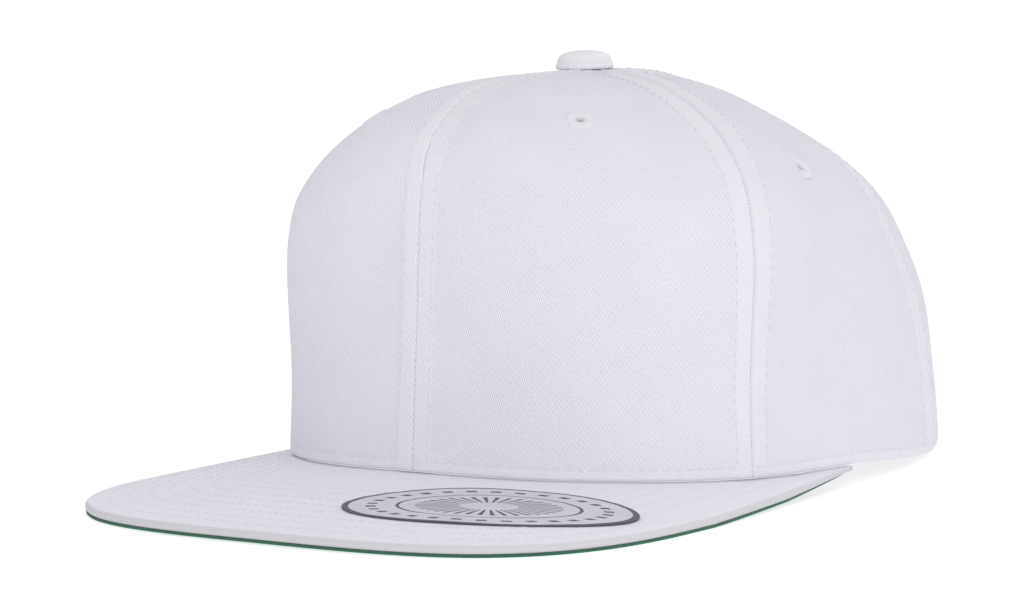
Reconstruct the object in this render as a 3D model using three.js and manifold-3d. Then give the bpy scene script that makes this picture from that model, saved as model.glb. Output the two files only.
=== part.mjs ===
// A snapback cap: six cloth panels, a covered button, stitched eyelets, a flat covered peak with a
// green under-cloth, a sweatband, two snap straps and an oval foil sticker.
// Millimetres. +X is the wearer's left, -Y is the front, where the peak points, and +Z is up.
// The cap stands as it rests on a table: on the corners of its peak and on its rim at the back.
// Angles round the cap are degrees from the middle of the front, positive to the wearer's left.
import * as THREE from "three";
import { mergeVertices } from "three/addons/utils/BufferGeometryUtils.js";
import Module from "manifold-3d";

const wasm = await Module();
wasm.setup();

// Head opening, measured over the cloth
const RIM_HALF_LENGTH = 100;
const RIM_HALF_WIDTH = 82;
const RIM_FRONT_SQUARENESS = 2.6;
const RIM_BACK_SQUARENESS = 2;
const RIM_RISE = 10;

// Crown
const CROWN_HEIGHT = 113;
const BUTTON_FORWARD = 18;
const CLOTH = 1.8;
const CLEARANCE = 0.3;
const TIP_HOLE_RADIUS = 2.6;
const DENT_DEPTH = 1.6;

// Opening at the back, over the straps
const ARCH_HALF_WIDTH = 34;
const ARCH_HEIGHT = 45;

// Button
const BUTTON_RADIUS = 8.2;
const BUTTON_HEIGHT = 4.8;
const BUTTON_SEAT_RADIUS = 7.4;
const BUTTON_SIDE_HEIGHT = 0.9;
const BUTTON_STEM_RADIUS = 1.6;
const BUTTON_STEM_LENGTH = 3;

// Eyelets
const EYELET_RADIUS = 4;
const EYELET_HOLE_RADIUS = 1.3;
const EYELET_PROUD = 0.4;

// Peak, measured over its cloth
const PEAK_HALF_WIDTH = 90;
const PEAK_REACH = 65;
const PEAK_CORNER_BACK = 75.5;
const PEAK_SQUARENESS = 3.1;
const PEAK_END_ANGLE = 82;
const PEAK_SIDE_CURVE = 1.3;
const PEAK_END_SHARE = 0.5;
const PEAK_END_TAPER = 40;
const PEAK_BOARD = 1.9;
const PEAK_UNDER_CLOTH = 1;
const PEAK_EDGE_ARCH = 0.3;
const PEAK_EDGE_RADIUS = 0.8;
const PEAK_ARCH_HALF_WIDTH = 63;

// Sweatband
const SWEATBAND_HEIGHT = 32;
const SWEATBAND_THICKNESS = 1.1;
const SWEATBAND_LIFT = 0.6;
const SWEATBAND_BACK_GAP = 3;
const SWEATBAND_BEND_START = 4;
const SWEATBAND_BEND_LENGTH = 16;

// Snap straps
const STRAP_HEIGHT = 20;
const STRAP_THICKNESS = 1.3;
const STRAP_TAB = 12;
const STRAP_EASE = 0.6;
const STRAP_OVERLAP = 44;
const SNAP_PITCH = 9;
const PEG_COUNT = 5;
const PEG_RADIUS = 2;
const PEG_PROUD = 1.2;

// Sticker on the peak, its middle given from the middle of the rim's front
const STICKER_LENGTH = 80;
const STICKER_WIDTH = 36;
const STICKER_THICKNESS = 0.3;
const STICKER_OUT = 23;
const STICKER_LEFT = 43.5;
const STICKER_TURN = 17;
const STICKER_GAP = 0.2;

// How far the rim stands above the table, as a share of its rise at the front
const RIM_LINE = [
  { angle: 0, rise: 1 },
  { angle: 28, rise: 0.91 },
  { angle: 62, rise: 0.63 },
  { angle: 82, rise: 0.55 },
  { angle: 120, rise: 0.14 },
  { angle: 150, rise: 0 },
  { angle: 180, rise: 0 },
];

// The crown's form: up is a share of the way from the rim to the top, and the others are shares of the
// way from the button out to the rim, along the middle of the front, the shoulder and so on
const PROFILE_ANGLES = { front: 0, shoulder: 57, side: 100, flank: 135, back: 180 };
const CROWN_PROFILE = [
  { up: 0, front: 1, shoulder: 1, side: 1, flank: 1, back: 1 },
  { up: 0.2, front: 0.977, shoulder: 0.993, side: 1, flank: 0.985, back: 0.985 },
  { up: 0.4, front: 0.949, shoulder: 1.005, side: 0.993, flank: 0.958, back: 0.96 },
  { up: 0.55, front: 0.935, shoulder: 1, side: 0.96, flank: 0.895, back: 0.915 },
  { up: 0.66, front: 0.923, shoulder: 0.966, side: 0.908, flank: 0.826, back: 0.875 },
  { up: 0.75, front: 0.901, shoulder: 0.885, side: 0.817, flank: 0.723, back: 0.81 },
  { up: 0.82, front: 0.872, shoulder: 0.77, side: 0.702, flank: 0.579, back: 0.685 },
  { up: 0.88, front: 0.814, shoulder: 0.645, side: 0.582, flank: 0.46, back: 0.568 },
  { up: 0.925, front: 0.73, shoulder: 0.525, side: 0.475, flank: 0.385, back: 0.455 },
  { up: 0.96, front: 0.641, shoulder: 0.385, side: 0.36, flank: 0.28, back: 0.34 },
  { up: 0.985, front: 0.475, shoulder: 0.178, side: 0.22, flank: 0.178, back: 0.22 },
  { up: 1, front: 0, shoulder: 0, side: 0, flank: 0, back: 0 },
];
const LAST_ROW = CROWN_PROFILE.length - 1;

// Soft dents in the cloth: the middle's angle and row of the profile, the spread to each side, and the
// depth as a multiple of DENT_DEPTH, negative where the cloth stands out. The first three are the front
// panel's stiff edge, which stands out at its seam on the wearer's left.
const DENTS = [
  { angle: 65, row: 8.3, spread: 11, rows: 1.6, depth: -1.5 },
  { angle: 65, row: 5.8, spread: 11, rows: 1.6, depth: -3.4 },
  { angle: 64, row: 3.4, spread: 11, rows: 1.6, depth: -2.9 },
  { angle: 108, row: 3.2, spread: 8, rows: 1.3, depth: 0.6 },
  { angle: 72, row: 2.4, spread: 8, rows: 1.1, depth: 0.9 },
  { angle: 88, row: 3.6, spread: 10, rows: 1.4, depth: -0.5 },
  { angle: 150, row: 7.2, spread: 13, rows: 1.2, depth: 1 },
  { angle: -88, row: 5, spread: 14, rows: 1.5, depth: 0.6 },
  { angle: -150, row: 6.8, spread: 14, rows: 1.3, depth: 0.8 },
  { angle: 172, row: 5.4, spread: 10, rows: 1.2, depth: 0.4 },
];

// The seams between the panels: those in front and behind run straight up, and the others have these
// angles at these rows of the profile
const SEAM_ROWS = [0, 1.4, 2.4, 3.5, 5, 6.5, 11];
const SIDE_SEAM = [56, 56, 56, 56, 57, 58, 58];
const BACK_SEAM = [119, 114.5, 109, 106, 107, 108.5, 108];
const straight = (angle) => SEAM_ROWS.map(() => angle);
const mirrored = (angles) => angles.map((angle) => -angle);
const SEAMS = {
  front: straight(0),
  left: SIDE_SEAM,
  backLeft: BACK_SEAM,
  back: straight(180),
  right: mirrored(SIDE_SEAM),
  backRight: mirrored(BACK_SEAM),
  behind: straight(-180),
};
const PANELS = [
  { name: "front_left", from: SEAMS.front, to: SEAMS.left, eyeletRow: 7.3, eyeletShare: 0.5 },
  { name: "front_right", from: SEAMS.right, to: SEAMS.front, eyeletRow: 7.3, eyeletShare: 0.5 },
  { name: "side_left", from: SEAMS.left, to: SEAMS.backLeft, eyeletRow: 4.9, eyeletShare: 0.38 },
  { name: "side_right", from: SEAMS.backRight, to: SEAMS.right, eyeletRow: 4.9, eyeletShare: 0.62 },
  { name: "back_left", from: SEAMS.backLeft, to: SEAMS.back, eyeletRow: 6, eyeletShare: 0.5 },
  { name: "back_right", from: SEAMS.behind, to: SEAMS.backRight, eyeletRow: 6, eyeletShare: 0.5 },
];

// How finely each form is faceted
const PANEL_COLUMNS = 10;
const PANEL_ROWS = 14;
const PEAK_OUTLINE_STEPS = 24;
const PEAK_STATIONS = 44;
const STRAP_STATIONS = 12;
const STRAP_END_STEPS = 5;
const STRAP_TIP_SWING = 0.47 * Math.PI;
const STICKER_SIDES = 28;
const EYELET_SIDES = 12;
const BUTTON_SIDES = 24;
const BUTTON_DOME_STEPS = 6;
const ARCH_STEPS = 9;
const PEG_SIDES = 8;
const PEG_HOLE_SIDES = 10;

// A smooth curve through the points (xs, ys), read at x
function smooth(xs, ys, x, levelEnds = false) {
  const last = xs.length - 1;
  let i = 0;
  while (i < last - 1 && x > xs[i + 1]) i++;
  const rise = (k) => (ys[k + 1] - ys[k]) / (xs[k + 1] - xs[k]);
  const slope = (k) => {
    if (k === 0) return levelEnds ? 0 : rise(0);
    if (k === last) return levelEnds ? 0 : rise(last - 1);
    const before = xs[k] - xs[k - 1];
    const after = xs[k + 1] - xs[k];
    return (rise(k - 1) * after + rise(k) * before) / (before + after);
  };
  const width = xs[i + 1] - xs[i];
  const t = (x - xs[i]) / width;
  const rest = 1 - t;
  return (
    ys[i] * (1 + 2 * t) * rest * rest +
    slope(i) * width * t * rest * rest +
    ys[i + 1] * t * t * (3 - 2 * t) -
    slope(i + 1) * width * t * t * rest
  );
}

const radians = THREE.MathUtils.degToRad;
const lerp = THREE.MathUtils.lerp;
const rows = CROWN_PROFILE.map((row, index) => index);
const upShares = CROWN_PROFILE.map((row) => row.up);
const profileNames = Object.keys(PROFILE_ANGLES);
const profileAngles = Object.values(PROFILE_ANGLES);
const reachShares = profileNames.map((name) => CROWN_PROFILE.map((row) => row[name]));

// The rim's outline seen from above, an oval that is squarer in front
function rimPoint(angle) {
  const across = Math.sin(radians(angle));
  const ahead = Math.cos(radians(angle));
  const power = ahead > 0 ? RIM_FRONT_SQUARENESS : RIM_BACK_SQUARENESS;
  const wide = Math.abs(across / RIM_HALF_WIDTH) ** power;
  const long = Math.abs(ahead / RIM_HALF_LENGTH) ** power;
  const radius = (wide + long) ** (-1 / power);
  return new THREE.Vector2(radius * across, -radius * ahead);
}

// An angle brought to between 0 and 180, the same on both sides
function sideAngle(angle) {
  const turned = Math.abs(angle) % 360;
  return turned > 180 ? 360 - turned : turned;
}

function rimHeight(angle) {
  const angles = RIM_LINE.map((row) => row.angle);
  const rises = RIM_LINE.map((row) => row.rise * RIM_RISE);
  return Math.max(0, smooth(angles, rises, sideAngle(angle), true));
}

// A point of the crown's smooth form at an angle and a row of its profile
function formPoint(angle, row) {
  const shares = reachShares.map((column) => smooth(rows, column, row));
  const reach = smooth(profileAngles, shares, sideAngle(angle), true);
  const rim = rimPoint(angle);
  const foot = rimHeight(angle);
  const up = smooth(rows, upShares, row);
  return new THREE.Vector3(
    reach * rim.x,
    lerp(-BUTTON_FORWARD, rim.y, reach),
    foot + (CROWN_HEIGHT - foot) * up,
  );
}

// The crown's outward direction there, level at the rim so that the hem is square
function formNormal(angle, row) {
  const step = 0.4;
  const low = Math.max(row - step, 0);
  const high = Math.min(row + step, LAST_ROW - 0.05);
  const along = formPoint(angle + 1, row).sub(formPoint(angle - 1, row));
  const up = formPoint(angle, high).sub(formPoint(angle, low));
  const normal = along.cross(up).normalize();
  normal.z *= Math.min(1, row);
  return normal.normalize();
}

// How far the cloth sinks in at a place
function dentDepth(angle, row) {
  let depth = 0;
  for (const dent of DENTS) {
    const turned = ((angle - dent.angle + 540) % 360) - 180;
    const far = (turned / dent.spread) ** 2 + ((row - dent.row) / dent.rows) ** 2;
    depth += DENT_DEPTH * dent.depth * Math.exp(-far);
  }
  return depth;
}

// A point of the crown at a depth inside its outer face
function crownPoint(angle, row, depth) {
  const normal = formNormal(angle, row);
  return formPoint(angle, row).addScaledVector(normal, -depth - dentDepth(angle, row));
}

// A closed solid between two grids of points that have the same rows and columns
function slab(outer, inner) {
  const rowCount = outer.length;
  const columnCount = outer[0].length;
  const points = [...outer.flat(), ...inner.flat()];
  const inside = rowCount * columnCount;
  const at = (row, column) => row * columnCount + column;
  const index = [];
  const quad = (a, b, c, d) => index.push(a, b, c, a, c, d);
  for (let row = 0; row < rowCount - 1; row++) {
    for (let column = 0; column < columnCount - 1; column++) {
      const [a, b] = [at(row, column), at(row, column + 1)];
      const [c, d] = [at(row + 1, column + 1), at(row + 1, column)];
      quad(a, b, c, d);
      quad(c + inside, b + inside, a + inside, d + inside);
    }
  }
  const edge = (a, b) => quad(b, a, a + inside, b + inside);
  for (let column = 0; column < columnCount - 1; column++) {
    edge(at(0, column), at(0, column + 1));
    edge(at(rowCount - 1, column + 1), at(rowCount - 1, column));
  }
  for (let row = 0; row < rowCount - 1; row++) {
    edge(at(row + 1, 0), at(row, 0));
    edge(at(row, columnCount - 1), at(row + 1, columnCount - 1));
  }
  const geometry = new THREE.BufferGeometry();
  const numbers = points.flatMap((point) => [point.x, point.y, point.z]);
  geometry.setAttribute("position", new THREE.Float32BufferAttribute(numbers, 3));
  geometry.setIndex(index);
  return facingOut(geometry);
}

// The same solid with its faces turned outward
function facingOut(geometry) {
  const position = geometry.getAttribute("position");
  const index = geometry.getIndex().array;
  const [a, b, c] = [new THREE.Vector3(), new THREE.Vector3(), new THREE.Vector3()];
  let volume = 0;
  for (let i = 0; i < index.length; i += 3) {
    a.fromBufferAttribute(position, index[i]);
    b.fromBufferAttribute(position, index[i + 1]);
    c.fromBufferAttribute(position, index[i + 2]);
    volume += a.dot(b.cross(c));
  }
  if (volume < 0) geometry.setIndex([...index].reverse());
  return geometry;
}

// A three.js geometry as a solid for cutting and joining
function solidOf(geometry) {
  const bare = geometry.clone();
  bare.deleteAttribute("normal");
  bare.deleteAttribute("uv");
  const merged = facingOut(mergeVertices(bare, 1e-4));
  const vertProperties = new Float32Array(merged.getAttribute("position").array);
  const triVerts = new Uint32Array(merged.getIndex().array);
  return new wasm.Manifold(new wasm.Mesh({ numProp: 3, vertProperties, triVerts }));
}

function geometryOf(solid) {
  const mesh = solid.getMesh();
  const geometry = new THREE.BufferGeometry();
  geometry.setAttribute("position", new THREE.Float32BufferAttribute(mesh.vertProperties, 3));
  geometry.setIndex([...mesh.triVerts]);
  return geometry;
}

// A geometry made along +Y, turned to lie along a direction and moved to a point
function aimed(geometry, direction, point) {
  const turn = new THREE.Quaternion().setFromUnitVectors(new THREE.Vector3(0, 1, 0), direction);
  return geometry.clone().applyQuaternion(turn).translate(point.x, point.y, point.z);
}

const cap = new THREE.Group();

function addPiece(name, geometry, color, roughness, metalness = 0) {
  const shaded = geometry.toNonIndexed();
  shaded.computeVertexNormals();
  const mesh = new THREE.Mesh(shaded, new THREE.MeshStandardMaterial({ color, roughness, metalness }));
  mesh.name = name;
  cap.add(mesh);
}

// The angle across a panel at a row, from one seam (share 0) to the other (share 1)
function panelAngle(panel, share, row) {
  const from = smooth(SEAM_ROWS, panel.from, row);
  const to = smooth(SEAM_ROWS, panel.to, row);
  return lerp(from, to, share);
}

// The place of a panel's eyelet
function eyeletPlace(panel) {
  const angle = panelAngle(panel, panel.eyeletShare, panel.eyeletRow);
  return {
    point: crownPoint(angle, panel.eyeletRow, 0),
    normal: formNormal(angle, panel.eyeletRow),
  };
}

// The row of the crown's profile at a step up a panel, whose last step is a small hole's edge
function panelRow(angle, step) {
  const wide = formPoint(angle, LAST_ROW - 1);
  const tipShare = TIP_HOLE_RADIUS / Math.hypot(wide.x, wide.y + BUTTON_FORWARD);
  return ((LAST_ROW - tipShare) * step) / PANEL_ROWS;
}

// A column of points up a panel at a depth, kept clear of the next panel by a share of the clearance
// that is 1 at its first seam, -1 at its last and 0 halfway
function panelColumn(panel, share, depth, inset) {
  return Array.from({ length: PANEL_ROWS + 1 }, (_, step) => {
    const row = panelRow(panelAngle(panel, share, 0), step);
    const angle = panelAngle(panel, share, row);
    const place = formPoint(angle, row);
    const radius = Math.hypot(place.x, place.y + BUTTON_FORWARD);
    const turn = THREE.MathUtils.radToDeg((inset * CLEARANCE) / 2 / radius);
    return crownPoint(angle + turn, row, depth);
  });
}

// A grid's rows made from its columns
const rowsOf = (columns) => columns[0].map((_, row) => columns.map((column) => column[row]));

// A panel is a gore of cloth from the rim to the small round hole under the button
function panelGeometry(panel) {
  const grid = (depth) =>
    rowsOf(
      Array.from({ length: PANEL_COLUMNS + 1 }, (_, i) => {
        const share = i / PANEL_COLUMNS;
        return panelColumn(panel, share, depth, 1 - 2 * share);
      }),
    );
  return slab(grid(0), grid(CLOTH));
}

// The arched opening over the straps, as a block that cuts the back panels
function archGeometry() {
  const arch = new THREE.Shape();
  arch.moveTo(-ARCH_HALF_WIDTH, -RIM_RISE);
  arch.lineTo(ARCH_HALF_WIDTH, -RIM_RISE);
  arch.lineTo(ARCH_HALF_WIDTH, 0);
  arch.absellipse(0, 0, ARCH_HALF_WIDTH, ARCH_HEIGHT, 0, Math.PI, false);
  arch.closePath();
  const geometry = new THREE.ExtrudeGeometry(arch, {
    depth: 2 * RIM_HALF_LENGTH,
    bevelEnabled: false,
    curveSegments: ARCH_STEPS,
  });
  return geometry.rotateX(Math.PI / 2).translate(0, 2 * RIM_HALF_LENGTH, 0);
}

for (const panel of PANELS) {
  const place = eyeletPlace(panel);
  const boreRadius = EYELET_RADIUS + CLEARANCE;
  const bore = new THREE.CylinderGeometry(boreRadius, boreRadius, 6 * CLOTH, EYELET_SIDES);
  let solid = solidOf(panelGeometry(panel));
  solid = solid.subtract(solidOf(aimed(bore, place.normal, place.point)));
  if (panel.name.startsWith("back")) solid = solid.subtract(solidOf(archGeometry()));
  addPiece(`panel_${panel.name}`, geometryOf(solid), 0xe8e8ec, 0.9);
}

// An eyelet is a ring of thread worked round a punched hole, rounded outside
for (const panel of PANELS) {
  const place = eyeletPlace(panel);
  const middle = (EYELET_RADIUS + EYELET_HOLE_RADIUS) / 2;
  const profile = [
    new THREE.Vector2(EYELET_HOLE_RADIUS, -CLOTH),
    new THREE.Vector2(EYELET_RADIUS, -CLOTH),
    new THREE.Vector2(EYELET_RADIUS, 0),
    new THREE.Vector2(middle, EYELET_PROUD),
    new THREE.Vector2(EYELET_HOLE_RADIUS, 0),
    new THREE.Vector2(EYELET_HOLE_RADIUS, -CLOTH),
  ];
  const ring = new THREE.LatheGeometry(profile, EYELET_SIDES);
  const solid = solidOf(aimed(ring, place.normal, place.point));
  addPiece(`eyelet_${panel.name}`, geometryOf(solid), 0xebebee, 0.8);
}

// The button is a domed disc on a stem that passes between the panels' tips
function buttonGeometry() {
  const seat = CROWN_HEIGHT + CLEARANCE;
  const profile = [
    new THREE.Vector2(0, seat - BUTTON_STEM_LENGTH),
    new THREE.Vector2(BUTTON_STEM_RADIUS, seat - BUTTON_STEM_LENGTH),
    new THREE.Vector2(BUTTON_STEM_RADIUS, seat),
    new THREE.Vector2(BUTTON_SEAT_RADIUS, seat),
  ];
  for (let i = 0; i <= BUTTON_DOME_STEPS; i++) {
    const swing = (Math.PI / 2) * (i / BUTTON_DOME_STEPS);
    const rise = lerp(BUTTON_SIDE_HEIGHT, BUTTON_HEIGHT, Math.sin(swing));
    profile.push(new THREE.Vector2(BUTTON_RADIUS * Math.cos(swing), seat + rise));
  }
  profile[profile.length - 1].x = 0;
  const lathe = new THREE.LatheGeometry(profile, BUTTON_SIDES);
  return lathe.rotateX(Math.PI / 2).translate(0, -BUTTON_FORWARD, 0);
}
addPiece("button", geometryOf(solidOf(buttonGeometry())), 0xe9e9ee, 0.85);

// The peak's outer edge seen from above, from its right end round the front to its left end
function peakOutline() {
  const corner = new THREE.Vector2(PEAK_HALF_WIDTH, -RIM_HALF_LENGTH - PEAK_REACH + PEAK_CORNER_BACK);
  const end = rimPoint(PEAK_END_ANGLE);
  const half = [];
  for (let i = 0; i <= PEAK_OUTLINE_STEPS; i++) {
    const swing = (Math.PI / 2) * (i / PEAK_OUTLINE_STEPS);
    const across = Math.sin(swing) ** (2 / PEAK_SQUARENESS);
    const ahead = Math.cos(swing) ** (2 / PEAK_SQUARENESS);
    half.push(new THREE.Vector2(corner.x * across, corner.y - PEAK_CORNER_BACK * ahead));
  }
  for (let i = 1; i <= PEAK_OUTLINE_STEPS; i++) {
    const share = i / PEAK_OUTLINE_STEPS;
    const across = lerp(corner.x, end.x, share ** PEAK_SIDE_CURVE);
    half.push(new THREE.Vector2(across, lerp(corner.y, end.y, share)));
  }
  const right = half.slice(1).map((point) => new THREE.Vector2(-point.x, point.y));
  return new THREE.SplineCurve([...right.reverse(), ...half]);
}
const outline = peakOutline();
const peakThickness = PEAK_BOARD + CLEARANCE + PEAK_UNDER_CLOTH;

// The height of the peak's top face at its outer edge: its corners rest on the table, the middle of the
// front is arched a little, and the sides climb to the rim
function edgeHeight(point) {
  const cornerY = -RIM_HALF_LENGTH - PEAK_REACH + PEAK_CORNER_BACK;
  const end = rimPoint(PEAK_END_ANGLE);
  const aside = Math.min(1, Math.abs(point.x) / PEAK_ARCH_HALF_WIDTH);
  const climb = THREE.MathUtils.clamp((point.y - cornerY) / (end.y - cornerY), 0, 1);
  const front = peakThickness + PEAK_EDGE_ARCH * (1 - aside ** 2);
  return lerp(front, rimHeight(PEAK_END_ANGLE) - CLEARANCE, climb);
}

// A straight line across the peak, from under the crown's wall out to the edge; share runs from 0 at the
// right end to 1 at the left end
function peakLine(share) {
  const angle = lerp(-PEAK_END_ANGLE, PEAK_END_ANGLE, share);
  const inner = formPoint(angle, 0).addScaledVector(formNormal(angle, 0), -CLOTH);
  inner.z -= CLEARANCE;
  const edge = outline.getPointAt(share);
  const outer = new THREE.Vector3(edge.x, edge.y, edgeHeight(edge));
  return { inner, outer };
}

// A solid lofted through closed sections that have the same number of points
function loft(sections) {
  const count = sections[0].length;
  const index = [];
  for (let i = 0; i < sections.length - 1; i++) {
    for (let j = 0; j < count; j++) {
      const next = (j + 1) % count;
      const [a, b] = [i * count + j, i * count + next];
      index.push(a, b, b + count, a, b + count, a + count);
    }
  }
  const last = (sections.length - 1) * count;
  for (let j = 1; j < count - 1; j++) {
    index.push(0, j + 1, j);
    index.push(last, last + j, last + j + 1);
  }
  const points = sections.flat();
  const geometry = new THREE.BufferGeometry();
  const numbers = points.flatMap((point) => [point.x, point.y, point.z]);
  geometry.setAttribute("position", new THREE.Float32BufferAttribute(numbers, 3));
  geometry.setIndex(index);
  return facingOut(geometry);
}

// The share of its thickness that the peak keeps: all of it but near its two ends, which taper
function peakFullness(share) {
  const fromEnd = Math.min(share, 1 - share) * outline.getLength();
  return lerp(PEAK_END_SHARE, 1, Math.min(1, fromEnd / PEAK_END_TAPER));
}

// A layer of the peak, under the thickness and the gap of what lies over it; nose lists the outer edge's
// points, from top to bottom, as distances in from the edge and shares of the layer's thickness
function peakLayer(above, gap, thickness, nose) {
  const sections = [];
  for (let i = 0; i <= PEAK_STATIONS; i++) {
    const { inner, outer } = peakLine(i / PEAK_STATIONS);
    const width = inner.distanceTo(outer);
    const fullness = peakFullness(i / PEAK_STATIONS);
    const at = (inset, depth) => {
      const point = outer.clone().lerp(inner, Math.min(inset / width, 1));
      point.z -= gap + (above + depth * thickness) * fullness;
      return point;
    };
    const section = [at(width, 0), at(width / 2, 0)];
    for (const corner of nose) section.push(at(Math.min(corner.inset, 0.4 * width), corner.depth));
    section.push(at(width / 2, 1), at(width, 1));
    sections.push(section);
  }
  return loft(sections);
}

const boardNose = [
  { inset: 2.2 * PEAK_EDGE_RADIUS, depth: 0 },
  { inset: 0.7 * PEAK_EDGE_RADIUS, depth: 0.14 },
  { inset: 0, depth: 0.55 },
  { inset: 0, depth: 1 },
];
const clothNose = [
  { inset: 0.2 * PEAK_EDGE_RADIUS, depth: 0 },
  { inset: 0.2 * PEAK_EDGE_RADIUS, depth: 0.4 },
  { inset: PEAK_EDGE_RADIUS, depth: 1 },
];
addPiece("peak", peakLayer(0, 0, PEAK_BOARD, boardNose), 0xe2e2e8, 0.9);
addPiece("peak_under", peakLayer(PEAK_BOARD, CLEARANCE, PEAK_UNDER_CLOTH, clothNose), 0x2f6b4f, 0.9);

// The row of the crown's profile at a height above the table
function rowAtHeight(angle, height) {
  let low = 0;
  let high = LAST_ROW / 2;
  for (let i = 0; i < 24; i++) {
    const middle = (low + high) / 2;
    if (formPoint(angle, middle).z < height) low = middle;
    else high = middle;
  }
  return (low + high) / 2;
}

// A point inside the crown's wall at a height, with the depth measured level from its outer face
function wallPoint(angle, height, depth) {
  const row = rowAtHeight(angle, height);
  const level = formNormal(angle, row).setZ(0).normalize();
  const point = formPoint(angle, row).addScaledVector(level, -depth - dentDepth(angle, row));
  return point.setZ(height);
}

// The straps lie behind the opening: places along them are millimetres round the rim from its middle
const strapAngle = (place) => 180 - THREE.MathUtils.radToDeg(place / RIM_HALF_LENGTH);
const bandDepth = CLOTH + CLEARANCE;
const strapDepth = CLOTH + STRAP_EASE;
const lapDepth = strapDepth + STRAP_THICKNESS + CLEARANCE;
const tabEnd = ARCH_HALF_WIDTH + STRAP_TAB;
const lapEnd = STRAP_OVERLAP / 2;

// The sweatband stands inside the wall, and further in where the straps' tabs lie behind it. It shares
// the panels' columns and steps, so that the two run side by side
function sweatbandGeometry() {
  const end = strapAngle(ARCH_HALF_WIDTH + SWEATBAND_BACK_GAP);
  const order = ["back_right", "side_right", "front_right", "front_left", "side_left", "back_left"];
  const places = order.flatMap((name) => {
    const panel = PANELS.find((candidate) => candidate.name === name);
    return Array.from({ length: PANEL_COLUMNS }, (_, i) => ({ panel, share: i / PANEL_COLUMNS }));
  });
  const rimAngle = (place) => panelAngle(place.panel, place.share, 0);
  const between = places.filter((place) => Math.abs(rimAngle(place)) < end - 1);
  const endPlace = (angle) => {
    const panel = PANELS.find((candidate) => candidate.name === (angle > 0 ? "back_left" : "back_right"));
    return { panel, share: (angle - panel.from[0]) / (panel.to[0] - panel.from[0]) };
  };
  const columnAt = (place, extra) => {
    const fromBack = (180 - Math.abs(rimAngle(place))) * radians(RIM_HALF_LENGTH);
    const bendStart = tabEnd + SWEATBAND_BEND_START;
    const overTabs = 1 - THREE.MathUtils.smoothstep(fromBack, bendStart, bendStart + SWEATBAND_BEND_LENGTH);
    const depth = lerp(bandDepth, lapDepth, overTabs) + extra;
    const [foot, middle, above] = panelColumn(place.panel, place.share, depth, 0);
    const low = foot.clone().lerp(middle, SWEATBAND_LIFT / (middle.z - foot.z));
    const high = middle.clone().lerp(above, (low.z + SWEATBAND_HEIGHT - middle.z) / (above.z - middle.z));
    return [low, middle, high];
  };
  const stations = [endPlace(-end), ...between, endPlace(end)];
  const grid = (extra) => rowsOf(stations.map((place) => columnAt(place, extra)));
  return slab(grid(0), grid(SWEATBAND_THICKNESS));
}
addPiece("sweatband", sweatbandGeometry(), 0xdfe0e4, 0.9);

// A strap is a ribbon from its tab inside the crown to a round free end; depthAt gives its outer face's
// depth at a place, and turn is 1 for the strap from the left and -1 for the one from the right
function strapGeometry(turn, depthAt) {
  const places = [];
  const radius = STRAP_HEIGHT / 2;
  const roundStart = radius - lapEnd;
  for (let i = 0; i <= STRAP_STATIONS; i++) places.push(lerp(tabEnd, roundStart, i / STRAP_STATIONS));
  for (let i = 1; i <= STRAP_END_STEPS; i++) {
    const swing = (STRAP_TIP_SWING * i) / STRAP_END_STEPS;
    places.push(roundStart - radius * Math.sin(swing));
  }
  const grid = (extra) =>
    [-1, 1].map((side) =>
      places.map((place) => {
        const past = Math.max(0, roundStart - place);
        const half = Math.sqrt(radius ** 2 - past ** 2);
        return wallPoint(strapAngle(turn * place), radius + side * half, depthAt(place) + extra);
      }),
    );
  return slab(grid(0), grid(STRAP_THICKNESS));
}

// A round bar through both straps at a place, between two depths
function snapBar(place, radius, outerDepth, innerDepth, sides) {
  const angle = strapAngle(place);
  const outer = wallPoint(angle, STRAP_HEIGHT / 2, outerDepth);
  const inner = wallPoint(angle, STRAP_HEIGHT / 2, innerDepth);
  const direction = outer.clone().sub(inner);
  const bar = new THREE.CylinderGeometry(radius, radius, direction.length(), sides);
  return solidOf(aimed(bar, direction.normalize(), outer.add(inner).multiplyScalar(0.5)));
}

function strapWithHoles() {
  let solid = solidOf(strapGeometry(1, () => strapDepth));
  for (let i = 0; i <= PEG_COUNT; i++) {
    const place = (i - (PEG_COUNT - 1) / 2) * SNAP_PITCH;
    const hole = snapBar(place, PEG_RADIUS + CLEARANCE, strapDepth - CLOTH, lapDepth, PEG_HOLE_SIDES);
    solid = solid.subtract(hole);
  }
  return geometryOf(solid);
}

function strapWithPegs() {
  const depthAt = (place) =>
    lerp(strapDepth, lapDepth, 1 - THREE.MathUtils.smoothstep(place, lapEnd + 1, ARCH_HALF_WIDTH));
  let solid = solidOf(strapGeometry(-1, depthAt));
  for (let i = 0; i < PEG_COUNT; i++) {
    const place = (i - (PEG_COUNT - 1) / 2) * SNAP_PITCH;
    const rooted = lapDepth + STRAP_THICKNESS / 2;
    solid = solid.add(snapBar(place, PEG_RADIUS, strapDepth - PEG_PROUD, rooted, PEG_SIDES));
  }
  return geometryOf(solid);
}
addPiece("strap_holes", strapWithHoles(), 0xf0f0f2, 0.45);
addPiece("strap_pegs", strapWithPegs(), 0xf0f0f2, 0.45);

// The height of the peak's top face at a place seen from above
function peakTop(x, y) {
  let low = 0;
  let high = 1;
  for (let i = 0; i < 24; i++) {
    const middle = (low + high) / 2;
    const { inner, outer } = peakLine(middle);
    const side = (outer.x - inner.x) * (y - inner.y) - (outer.y - inner.y) * (x - inner.x);
    if (side > 0) low = middle;
    else high = middle;
  }
  const { inner, outer } = peakLine((low + high) / 2);
  const share = Math.hypot(x - inner.x, y - inner.y) / Math.hypot(outer.x - inner.x, outer.y - inner.y);
  return lerp(inner.z, outer.z, share);
}

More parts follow.
